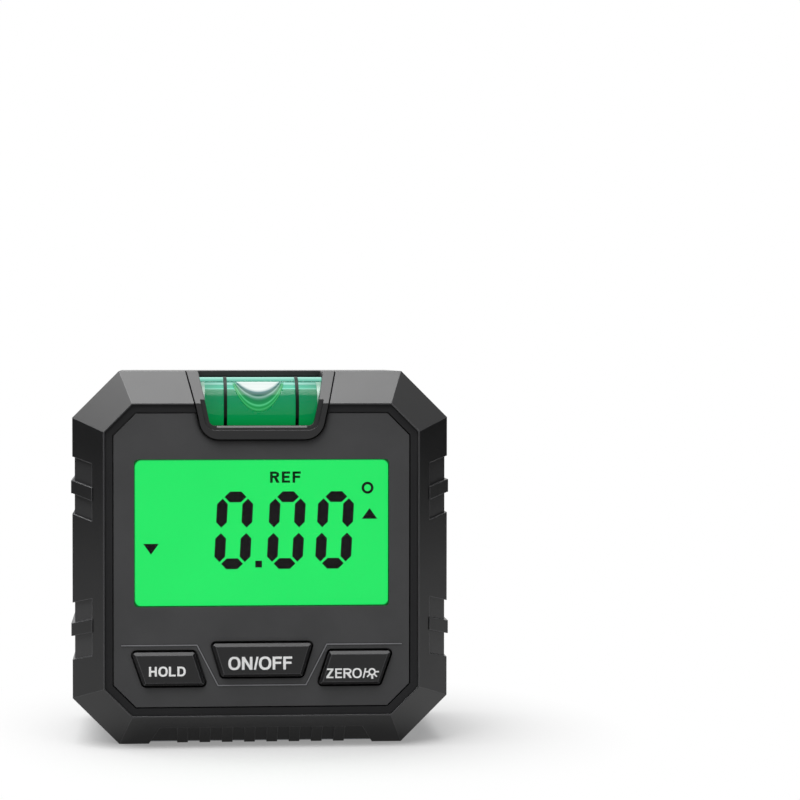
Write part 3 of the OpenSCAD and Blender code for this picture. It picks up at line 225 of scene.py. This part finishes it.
# ---------------------------------------------------------------- finishes
def moulded(name, text, rough=0.42, grain=0.22, relief=0.004, spec=0.5, edge=0.0,
            edge_highlight=None, recess=None, gap=None):
    """Moulded plastic: an even fine grain, and broad faint patches in colour and gloss. Grain,
    relief and edge are in millimetres. It may have painted highlights on its edges, a painted
    lighter tone in the grips' recesses where they catch light, and painted shade beside narrow
    gaps."""
    colour_patch, gloss_patch = 9, 5
    f = Finish(name)
    base = linear(text)
    tone = f.blend(f.spread(f.noise(colour_patch, 3), 0, 1), shade(base, 0.93), shade(base, 1.06))
    # Painted light: a lighter tone in the grips' recesses stands in for the light their floors
    # catch.
    if recess:
        tone = f.blend(f.grip_recess(), tone, linear(recess))
    # Painted highlight: a lighter colour on edges stands in for the light caught on them.
    if edge_highlight:
        tone = f.blend(f.edges(edge), tone, linear(edge_highlight))
    # Painted shade: a near-black colour beside gaps and taller neighbours, found by ambient
    # occlusion.
    if gap:
        tone = f.blend(f.near_gap(), tone, linear(gap))
    return f.look(
        Base_Color=tone,
        Roughness=f.spread(f.noise(gloss_patch, 3), rough - 0.012, rough + 0.015),
        Normal=f.bump(f.noise(grain, 3), relief, edge),
        Specular_IOR_Level=spec,
    )


def metal(name, text, rough=0.3, stretch=(0.25, 1, 1), grain=0.6, relief=0.003):
    """Metal whose fine grain is drawn out by stretch and shows in colour and relief, with
    broader patches in gloss."""
    gloss_patch = 2.5
    f = Finish(name)
    base = linear(text)
    lines = f.noise(grain, 4, stretch)
    return f.look(
        Base_Color=f.blend(f.spread(lines, 0, 1), shade(base, 0.86), shade(base, 1.08)),
        Roughness=f.spread(f.noise(gloss_patch, 3), rough - 0.06, rough + 0.08),
        Normal=f.bump(lines, relief),
        Metallic=1.0,
    )


def clear(name, text, alpha, rough, spec):
    """Clear plastic that lets light and colour through by its alpha, with faint haze."""
    f = Finish(name)
    base = linear(text)
    f.mat.surface_render_method = "BLENDED"
    return f.look(
        Base_Color=f.blend(f.spread(f.noise(4, 3), 0, 1), shade(base, 0.97), base),
        Roughness=f.spread(f.noise(1.5, 3), rough, rough + 0.03),
        Alpha=alpha,
        Specular_IOR_Level=spec,
    )


def lit_display(name, text, strength):
    """Glass lit from behind, with broad faint patches in its light. The light ends at the edge
    of the window, a rounded rectangle: it is dark where the length of the largest of 0 and
    |place - centre| - (half - corner) is above the corner's radius."""
    centre, half, corner = (0.13, 33.86), (20.2, 11.62), 1.1
    inside, outside = corner - 0.12, corner + 0.08
    no_limit = 1.0
    f = Finish(name)
    base = linear(text)
    light = f.blend(f.spread(f.noise(14, 2), 0, 1), shade(base, 0.975), base)
    middle = (centre[0] * MM, GLASS_FACE_Y * MM, centre[1] * MM)
    straight = ((half[0] - corner) * MM, no_limit, (half[1] - corner) * MM)
    from_middle = f.vectors("ABSOLUTE", f.vectors("SUBTRACT", f.place, middle))
    past = f.vectors("MAXIMUM", f.vectors("SUBTRACT", from_middle, straight))
    edge = f.spread(f.vectors("LENGTH", past), 0.0, 0.93, inside * MM, outside * MM)
    return f.look(
        Base_Color=f.blend(f.noise(2), shade(base, 0.01), shade(base, 0.02)),
        Emission_Color=f.blend(edge, light, linear("0a2a16")),
        Emission_Strength=strength,
        Roughness=0.25,
        Specular_IOR_Level=0.1,
    )


def painted_glow_fluid(name):
    """Bright green fluid whose lit look is painted as a glow. Its emitted colour runs from the
    tube's
    underside to its crown: deep green, clear green, and painted highlight bands, pale where the
    room above shines in; the painted glow darkens towards the two ends."""
    underside_z, crown_z = 49.8, 57.8
    even_to_x, dark_from_x = 5.5, 9.5
    f = Finish(name)
    at = f.axes()
    height = f.spread(at["Z"], 0, 1, underside_z * MM, crown_z * MM)
    painted_light_by_height = f.ramp(height, [
        (0.0, "06742e"), (0.25, "06964a"), (0.5, "059a5a"), (0.80, "049866"), (0.855, "06a070"),
        (0.875, "96ffe2"), (0.895, "3fd2aa"), (0.94, "46c8a6"), (0.965, "c4fff2"),
        (0.985, "90e6d4"), (1.0, "4a9484"),
    ])
    ends = f.spread(f.maths("ABSOLUTE", at["X"]), 0.0, 0.45, even_to_x * MM, dark_from_x * MM)
    # Painted light: the fluid glows with its lit look, highlight bands included, instead of being
    # lit.
    return f.look(
        Base_Color=f.between(f.noise(2), "03200f", "042412"),
        Emission_Color=f.blend(ends, painted_light_by_height, linear("06602e")),
        Emission_Strength=0.8,
        Roughness=f.spread(f.noise(2), 0.12, 0.18),
        Specular_IOR_Level=0.2,
    )


def vial_wall(name):
    """Clear plastic of the tube. Above the fluid the wall is seen on edge, and a painted reflection
    of the room glows there as a pale sea-green band; everywhere else it lets nearly all light
    through."""
    crown_z, band_z, pale_z, palest_z = 57.80, 57.95, 58.0, 58.5
    f = Finish(name)
    height = f.axes()["Z"]
    crown = f.spread(height, 0.0, 1.0, crown_z * MM, band_z * MM)
    paleness = f.spread(height, 0.0, 1.0, pale_z * MM, palest_z * MM)
    # Painted reflection: the pale band above the fluid is emitted.
    return f.look(
        Base_Color=f.between(f.noise(2), "0c3a2a", "0f4030"),
        Emission_Color=f.between(paleness, "5fb39c", "a9e8d8"),
        Emission_Strength=f.spread(crown, 0.0, 1.25, 0, 1),
        Alpha=f.spread(crown, 0.03, 0.5, 0, 1),
        Roughness=f.spread(f.noise(2), 0.11, 0.14),
        Specular_IOR_Level=0.07,
    )


def bubble_look(name):
    """Air bubble seen through the tube, its look painted as a glow. V of its UV map runs outwards
    from the bubble's middle: a painted white reflection inside, a painted dark rim line, a pale
    ring, and faint painted light rings in the fluid round it. U is small along the line of the
    tube's crown, where only the white inside shows."""
    f = Finish(name)
    uv = f.axes(f.node("UVMap", uv_map="rings").outputs["UV"])
    rings = f.ramp(uv["Y"], [
        (0.0, "fcffff"), (0.44, "f6fcfb"), (0.485, "bcd0d0"), (0.51, "3f7880"), (0.56, "1c5c56"),
        (0.595, "1f6a58"), (0.63, "98c4b6"), (0.67, "4c9a7a"), (0.71, "0f8850"), (0.78, "0a9650"),
        (0.81, "58d890"), (0.845, "12a052"), (0.87, "0a9a4a"), (0.90, "3fc070"),
        (0.94, "088e44"), (1.0, "088a40"),
    ])
    off_crown = f.spread(uv["X"], 0.0, 1.0, 0.1, 0.45)
    inside = f.spread(uv["Y"], 1.0, 0.0, 0.49, 0.52)
    within_rings = f.spread(uv["Y"], 1.0, 0.0, 0.90, 0.97)
    # Painted light: the bubble's white, rim and rings are emitted, not lit.
    return f.look(
        Base_Color=f.between(f.noise(2), "03200f", "042412"),
        Emission_Color=rings,
        Emission_Strength=0.85,
        Alpha=f.maths("MULTIPLY", f.maths("MAXIMUM", off_crown, inside), within_rings),
        Roughness=f.spread(f.noise(2), 0.12, 0.18),
        Specular_IOR_Level=0.2,
    )


plastics = {
    # black_case: its edge colour is a painted highlight; its recess colour is a painted lighter
    # tone.
    "black_case": dict(text="111112", rough=0.33, relief=0.002, spec=0.40, edge=0.14,
                       edge_highlight="565658", recess="2a2a2b"),
    # grey_panel: its gap colour is painted shade beside the key openings.
    "grey_panel": dict(text="4a4a4b", rough=0.50, grain=0.16, relief=0.002, spec=0.15, edge=0.08,
                       gap="070707"),
    # key_plastic: its edge colour is a painted highlight.
    "key_plastic": dict(text="181819", rough=0.34, grain=0.2, relief=0.002, spec=0.30, edge=0.16,
                        edge_highlight="545456"),
    "black_trim": dict(text="171718", rough=0.34, relief=0.002, spec=0.36, edge=0.14),
    "black_rim": dict(text="29292a", rough=0.65, grain=0.2, relief=0.003, spec=0.1),
    "pale_line": dict(text="7d7d80", rough=0.45, grain=0.2, relief=0.001, spec=0.2),
    "black_insert": dict(text="060606", rough=0.6, grain=0.2, relief=0.002, spec=0.1),
    "black_ink": dict(text="06150d", rough=0.35, grain=0.2, relief=0.001, spec=0.1),
    "dark_mark": dict(text="191418", rough=0.5, grain=0.3, relief=0.0005, spec=0.1),
    "green_mark": dict(text="0d3b1d", rough=0.5, grain=0.3, relief=0.0005, spec=0.1),
    "white_print": dict(text="fbfbfb", rough=0.45, grain=0.05, relief=0.0005, spec=0.3),
    "white_plug": dict(text="9ab8a8", rough=0.3, grain=0.3, relief=0.002),
    "white_carrier": dict(text="d9dad6", rough=0.5),
    "light_guide": dict(text="e8f7e9", rough=0.35),
    "lamp": dict(text="f2f2d8", rough=0.2),
    "strip_rubber": dict(text="5b2f33", rough=0.7),
    "board_green": dict(text="1f6b3a", rough=0.3, grain=0.5, relief=0.002),
    "chip_black": dict(text="18181a", rough=0.55),
    "chip_grey": dict(text="3b3b3f", rough=0.5),
    "red_wire": dict(text="b3261e", rough=0.35),
    "black_wire": dict(text="202022", rough=0.35),
    "cell_wrap": dict(text="b9742c", rough=0.22, grain=0.5, relief=0.001),
}
metals = {
    "switch_metal": dict(text="b9bcc0"),
    "crystal_can": dict(text="c8cacc", rough=0.25),
    "screw_steel": dict(text="a9acb0", rough=0.28, stretch=(1, 0.3, 1), grain=0.4),
    "contact_metal": dict(text="cfc7a4", rough=0.28),
    "base_metal": dict(text="8d9094", rough=0.34, stretch=(12, 1, 1), grain=0.5),
    "magnet_plate": dict(text="c9ccd0", rough=0.16, stretch=(1, 1, 1), grain=1.0, relief=0.001),
}
finishes = {name: moulded(name, **look) for name, look in plastics.items()}
finishes |= {name: metal(name, **look) for name, look in metals.items()}
finishes["clear_vial"] = vial_wall("clear_vial")
finishes["clear_lens"] = clear("clear_lens", "101412", alpha=0.04, rough=0.04, spec=0.3)
finishes["green_fluid"] = painted_glow_fluid("green_fluid")
finishes["air_bubble"] = bubble_look("air_bubble")
finishes["lit_glass"] = lit_display("lit_glass", "25e867", strength=1.08)

slots = {part["node"]: part["material_slot"] for part in frame["record"]["subparts"]}
for node, piece in frame["nodes"].items():
    piece.data.materials.clear()
    piece.data.materials.append(finishes[slots[node]])


# ---------------------------------------------------------------- new pieces
def add_piece(name, mesh, body, finish):
    """Puts the mesh into a new piece with that finish, which rides on body."""
    mesh.materials.clear()
    mesh.materials.append(finishes[finish])
    obj = bpy.data.objects.new(name, mesh)
    bpy.context.scene.collection.objects.link(obj)
    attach(obj, body)


def mesh_of(name, points, faces):
    """Mesh from an array of points in millimetres, and faces as lists of their numbers."""
    mesh = bpy.data.meshes.new(name)
    mesh.from_pydata((np.asarray(points) * MM).tolist(), [], faces)
    mesh.validate()
    return mesh


def ring_arc(x, z, rx, rz, start, end, n, power=2.3):
    """Points of a rounded arc about (x, z): the cosine and the sine of each turn are raised to
    2 / power, so that power 2 is an ellipse and more is squarer."""
    a = np.radians(np.linspace(start, end, n))
    c, s = np.cos(a), np.sin(a)
    across = x + rx * np.sign(c) * abs(c) ** (2 / power)
    up = z + rz * np.sign(s) * abs(s) ** (2 / power)
    return np.stack([across, up], 1)


def glyph(kind, x0, x1, z0, z1, w):
    """Closed outlines of one capital letter in the box x0..x1 by z0..z1, with stems w wide and
    bars 0.85 w high; a second outline is a hole."""
    t = w * 0.85
    wide, high, zm = x1 - x0, z1 - z0, (z0 + z1) / 2
    left, right = x0 + w, x1 - w        # inner sides of the stems
    low, top = z0 + t, z1 - t           # inner sides of the bottom and the top bar
    if kind == "H":
        return [[(x0, z0), (left, z0), (left, zm - t / 2), (right, zm - t / 2), (right, z0),
                 (x1, z0), (x1, z1), (right, z1), (right, zm + t / 2), (left, zm + t / 2),
                 (left, z1), (x0, z1)]]
    if kind == "L":
        return [[(x0, z0), (x1, z0), (x1, low), (left, low), (left, z1), (x0, z1)]]
    if kind in "FE":
        foot = [(x0, z0), (left, z0)]
        if kind == "E":
            foot = [(x0, z0), (x1, z0), (x1, low), (left, low)]
        tongue = x1 - wide * 0.08
        zb = zm + high * 0.02
        return [foot + [(left, zb - t / 2), (tongue, zb - t / 2), (tongue, zb + t / 2),
                        (left, zb + t / 2), (left, top), (x1, top), (x1, z1), (x0, z1)]]
    if kind == "N":
        drop = high * 0.36
        return [[(x0, z0), (left, z0), (left, z1 - drop), (right, z0), (x1, z0), (x1, z1),
                 (right, z1), (right, z0 + drop), (left, z1), (x0, z1)]]
    if kind == "Z":
        start, elbow = x0 + 0.11 * wide, 1.45 * w
        return [[(x0, z0), (x1, z0), (x1, low), (x0 + elbow, low), (x1, top), (x1, z1),
                 (start, z1), (start, top), (x1 - elbow, top), (x0, low)]]
    if kind == "/":
        return [[(x0, z0), (x0 + w * 0.8, z0), (x1, z1), (x1 - w * 0.8, z1)]]
    if kind == "O":
        xm, tall = (x0 + x1) / 2, high / 2 + high * 0.02
        return [ring_arc(xm, zm, wide / 2, tall, 0, 352, 44),
                ring_arc(xm, zm, wide / 2 - w, tall - t, 0, 352, 44)[::-1]]
    if kind == "D":
        xa = x0 + wide * 0.42
        outer = ring_arc(xa, zm, x1 - xa, high / 2, -90, 90, 20)
        inner = ring_arc(xa, zm, right - xa, high / 2 - t, -90, 90, 20)
        return [np.vstack([[(x0, z0)], outer, [(x0, z1)]]),
                np.vstack([[(left, low)], inner, [(left, top)]])[::-1]]
    # R: a bowl above the waist, and a slanted leg below it
    waist = z0 + high * 0.43
    xa, xb = x0 + wide * 0.5, x1 - wide * 0.05
    bowl, tall = (waist + z1) / 2, (z1 - waist) / 2
    outer = ring_arc(xa, bowl, xb - xa, tall, -62, 90, 18, 2.1)
    inner = ring_arc(xa, bowl, xb - w - xa, tall - t, -90, 90, 14, 2.1)
    leg = [(x0, z0), (left, z0), (left, waist), (left + 0.14 * wide, waist), (x1 - 1.2 * w, z0),
           (x1, z0)]
    return [np.vstack([leg, outer, [(x0, z1)]]),
            np.vstack([[(left, waist + t)], inner, [(left, top)]])[::-1]]


def words(name, letters, z0, z1, w, y):
    """Mesh of raised print: each letter's outlines in its own box are filled and made INK thick,
    half of it proud of the face at y. Letters are (kind, x0, x1) in millimetres."""
    curve = bpy.data.curves.new(name, "CURVE")
    curve.dimensions = "2D"
    curve.fill_mode = "BOTH"
    curve.extrude = 0.5                 # so that the thickness is 1, and then INK
    for kind, x0, x1 in letters:
        for outline in glyph(kind, x0, x1, z0, z1, w):
            points = np.asarray(outline, float)
            n = len(points)
            spline = curve.splines.new("POLY")
            spline.points.add(n - 1)
            flat = np.column_stack([points, np.zeros(n), np.ones(n)])
            spline.points.foreach_set("co", flat.ravel())
            spline.use_cyclic_u = True
    holder = bpy.data.objects.new(name + "_outline", curve)
    bpy.context.scene.collection.objects.link(holder)
    graph = bpy.context.evaluated_depsgraph_get()
    mesh = bpy.data.meshes.new_from_object(holder.evaluated_get(graph))
    bpy.data.objects.remove(holder)
    co = np.empty(len(mesh.vertices) * 3, np.float32)
    mesh.vertices.foreach_get("co", co)
    across, up, thick = co.reshape(-1, 3).T
    placed = np.stack([across, y - thick * INK, up], 1) * MM
    mesh.vertices.foreach_set("co", placed.astype(np.float32).ravel())
    mesh.name = name
    mesh.update()
    return mesh


def slab(outline, y0, y1):
    """Points and faces of a flat closed outline (x, z), carried from y0 back to y1."""
    x, z = np.asarray(outline, float).T
    n = len(x)
    points = np.vstack([np.stack([x, np.full(n, y), z], 1) for y in (y0, y1)])
    this = np.arange(n)
    after = (this + 1) % n
    sides = np.stack([this, after, n + after, n + this], 1)
    return points, [this[::-1], this + n, *sides]


def lamp_sign(name, x, z, r, y):
    """Mesh of a lamp sign: a ring of radius r, four short rays beside and below it, and a foot.
    The ring is an outer and an inner circle, front and back, joined by four bands; each ray is a
    bar along its own direction. Rays are (turn in degrees, start, end), with start and end as
    shares of r."""
    rays = ((0, 0.97, 1.85), (180, 0.97, 1.75), (-46, 0.97, 1.85), (-134, 0.97, 1.85))
    foot = ((-0.28, -0.93), (-0.18, -1.85), (0.36, -1.85), (0.24, -0.93))
    hole, half_ray = r * 0.56, r * 0.20
    front, back = y - INK / 2, y + INK / 2
    points, faces = [], []

    def join(some_points, some_faces):
        before = sum(len(p) for p in points)
        points.append(some_points)
        faces.extend((face + before).tolist() for face in some_faces)

    n = 32
    this = np.arange(n)
    after = (this + 1) % n
    a = this * 2 * np.pi / n
    circles = [
        np.stack([x + radius * np.cos(a), np.full(n, depth), z + radius * np.sin(a)], 1)
        for radius, depth in ((r, front), (hole, front), (hole, back), (r, back))
    ]
    bands = [
        np.stack([here + this, here + after, there + after, there + this], 1)
        for here, there in ((0, n), (n, 2 * n), (2 * n, 3 * n), (3 * n, 0))
    ]
    join(np.vstack(circles), np.vstack(bands))
    for turn, start, end in rays:
        c, s = math.cos(math.radians(turn)), math.sin(math.radians(turn))
        along = np.array([start, end, end, start]) * r
        aside = np.array([-1, -1, 1, 1]) * half_ray
        bar = np.stack([x + along * c - aside * s, z + along * s + aside * c], 1)
        join(*slab(bar, front, back))
    join(*slab(np.array(foot) * r + (x, z), front, back))
    return mesh_of(name, np.vstack(points), faces)


def vial_bubble(name):
    """Mesh of the bubble seen in the vial: a closed thin shell on the fluid, about x = mid. A
    point at distance v and turn a lies at x = mid + w(v) * cos a on the circle of the fluid, at
    the angle lean * v * sin a from its crown. The half width w is 7 v up to v = 0.5, and
    3.5 + 1.6 (v - 0.5) from there. The UV map holds |sin a| and v."""
    mid, lean, radii = -0.4, math.radians(105), (4.06, 4.03)
    rows, turns = 40, 96
    v, a = np.meshgrid(np.linspace(0.01, 1, rows), np.arange(turns) * 2 * np.pi / turns,
                       indexing="ij")
    x = mid + np.where(v < 0.5, 7.0 * v, 3.5 + 1.6 * (v - 0.5)) * np.cos(a)
    angle = lean * v * np.sin(a)
    shells = [
        np.stack([x, VIAL_Y - r * np.sin(angle), VIAL_Z + r * np.cos(angle)], -1).reshape(-1, 3)
        for r in radii
    ]
    inner = rows * turns                # number of the inner shell's first point
    start, this = np.meshgrid(np.arange(rows - 1) * turns, np.arange(turns), indexing="ij")
    after = (this + 1) % turns
    cells = np.stack([start + this, start + after, start + turns + after, start + turns + this], -1)
    cells = cells.reshape(-1, 4)
    pole = np.arange(turns)
    edge, edge_after = inner - turns + pole, inner - turns + (pole + 1) % turns
    outer_rim = np.stack([edge, edge_after, inner + edge_after, inner + edge], 1)
    faces = np.vstack([cells[:, ::-1], cells + inner, outer_rim[:, ::-1]]).tolist()
    faces += [pole.tolist(), (pole + inner)[::-1].tolist()]
    mesh = mesh_of(name, np.vstack(shells), faces)
    mesh.polygons.foreach_set("use_smooth", np.ones(len(mesh.polygons), bool))
    uv_of = np.stack([np.tile(np.abs(np.sin(a)).ravel(), 2), np.tile(v.ravel(), 2)], 1)
    at = np.empty(len(mesh.loops), np.int32)
    mesh.loops.foreach_get("vertex_index", at)
    layer = mesh.uv_layers.new(name="rings")
    layer.data.foreach_set("uv", uv_of[at].astype(np.float32).ravel())
    return mesh


# Each line of print: piece, its letters and their sides, bottom and top, and width of a stem
key_print = {
    "hold_key_body": ("hold_lettering", (
        ("H", -17.83, -16.59), ("O", -16.36, -14.88), ("L", -14.71, -13.64), ("D", -13.38, -12.06),
    ), 11.60, 13.14, 0.34),
    "power_key_body": ("power_lettering", (
        ("O", -5.36, -3.44), ("N", -3.21, -1.55), ("/", -1.34, -0.58), ("O", -0.53, 1.43),
        ("F", 1.64, 3.09), ("F", 3.31, 4.72),
    ), 12.55, 14.59, 0.42),
    "zero_key_body": ("zero_lettering", (
        ("Z", 10.12, 11.26), ("E", 11.53, 12.62), ("R", 12.84, 14.20), ("O", 14.26, 15.76),
        ("/", 15.89, 16.47),
    ), 11.10, 12.64, 0.29),
}
display_print = ("display_lettering", (
    ("R", 1.41, 2.93), ("E", 3.29, 4.60), ("F", 4.99, 6.30),
), 41.84, 43.63, 0.42)

for body, (name, *line) in key_print.items():
    add_piece(name, words(name, *line, KEY_FACE_Y), body, "white_print")
add_piece("display_lettering", words(*display_print, GLASS_FACE_Y), "gauge_body", "green_mark")
add_piece("lamp_sign", lamp_sign("lamp_sign", 17.38, 12.06, 0.60, KEY_FACE_Y), "zero_key_body",
          "white_print")
# The bubble is a thin shell on the fluid that carries the bubble's painted glow.
add_piece("vial_bubble", vial_bubble("vial_bubble"), "gauge_body", "air_bubble")


# ---------------------------------------------------------------- stage, lamp and camera
def stage_sheet(name, corners, mat):
    """Flat sheet with four corners on the stage."""
    mesh = bpy.data.meshes.new(name)
    mesh.from_pydata(corners, [], [(0, 1, 2, 3)])
    mesh.materials.append(mat)
    obj = bpy.data.objects.new(name, mesh)
    bpy.context.scene.collection.objects.link(obj)


def dull(name, size, a, b):
    """Dull finish without gloss, mottled between two six-digit colours in lumps of size mm."""
    f = Finish(name)
    f.look(Base_Color=f.between(f.noise(size), a, b), Roughness=0.9, Specular_IOR_Level=0.0)
    return f


def table_top(half=3.0):
    """Flat table top at the gauge's resting face. It keeps the gauge's shadow near it, and runs
    into even white away from it; only camera, gloss and glass see that white, and gloss sees it
    from nearer by. Distances are from the middle of the gauge's foot, in metres."""
    shadow_from, shadow_to = 0.027, 0.062
    gloss_from, gloss_to = 0.024, 0.034
    f = dull("white_table", 30, "8a8a8a", "8e8e8e")
    lit = f.node("BsdfDiffuse", {"Color": (0.52, 0.52, 0.52, 1)})
    away = f.vectors("LENGTH", f.place)
    whiteness = f.spread(away, 0.28, 1.0, shadow_from, shadow_to)
    for_gloss = f.maths("MULTIPLY", f.rays(["Is Glossy Ray"]),
                        f.spread(away, 0.1, 1.0, gloss_from, gloss_to))
    seen = f.mixed(f.maths("MAXIMUM", whiteness, for_gloss), lit.outputs[0],
                   f.node("Emission").outputs[0])
    f.surface(f.mixed(f.rays(WHITE_SEEN_BY), f.shader.outputs[0], seen))
    corners = [(-half, -half, 0), (half, -half, 0), (half, half, 0), (-half, half, 0)]
    stage_sheet("table_top", corners, f.mat)


def side_card(name, x, y=0.25, z0=0.01, z1=0.2):
    """Black card beside the gauge, out of the picture, that keeps the side bevels dark. The
    camera and glass look through it."""
    f = dull(name, 3, "101010", "141414")
    through = f.node("BsdfTransparent").outputs[0]
    f.surface(f.mixed(f.rays(CARD_PASSED_BY), f.shader.outputs[0], through))
    stage_sheet(name, [(x, -y, z0), (x, y, z0), (x, y, z1), (x, -y, z1)], f.mat)


def room_light(level):
    """Even light of that level all round; the camera, gloss and glass see white."""
    world = bpy.data.worlds.new("white_room")
    bpy.context.scene.world = world
    tree = Tree(world)
    even = tree.nodes["Background"]
    tree.put(WHITE, even.inputs["Color"])
    tree.put(level, even.inputs["Strength"])
    white = tree.node("Background", {"Color": WHITE, "Strength": 1.0})
    room = tree.mixed(tree.rays(WHITE_SEEN_BY), even.outputs[0], white.outputs[0])
    tree.put(room, tree.nodes["World Output"].inputs["Surface"])


def aimed(obj, place, target):
    """Puts obj at place and turns its -Z axis towards target, both in metres."""
    away = Vector(place) - Vector(target)
    turn = away.to_track_quat("Z", "Y").to_matrix().to_4x4()
    obj.matrix_world = Matrix.Translation(place) @ turn
    bpy.context.scene.collection.objects.link(obj)


def soft_lamp(name, place, size, power, target=(0, 0, 0.03)):
    """Square soft box of side size metres, aimed at the gauge's middle."""
    data = bpy.data.lights.new(name, "AREA")
    data.shape = "SQUARE"
    data.size = size
    data.energy = power
    aimed(bpy.data.objects.new(name, data), place, target)


def camera():
    """Camera in front of the gauge, a little left of it and just above its top. It looks past
    the gauge's middle to the upper right and its lens is shifted, so that the gauge stands in
    the lower left of the frame."""
    data = bpy.data.cameras.new("camera")
    data.lens = 92.65
    data.shift_x = 0.15
    data.sensor_width = 36.0
    data.clip_start, data.clip_end = 0.01, 20.0
    obj = bpy.data.objects.new("camera", data)
    eye = Vector((-16.0, -340.0, 62.0)) * MM
    aim = Vector((2.84, -16.0, 55.06)) * MM
    aimed(obj, eye, aim)
    bpy.context.scene.camera = obj


table_top()
room_light(0.28)
side_card("left_card", -0.30)
side_card("right_card", 0.30)
soft_lamp("overhead_box", (-0.17, -0.06, 0.70), 0.80, 12.6)
camera()
bpy.context.scene.view_settings.view_transform = "Standard"
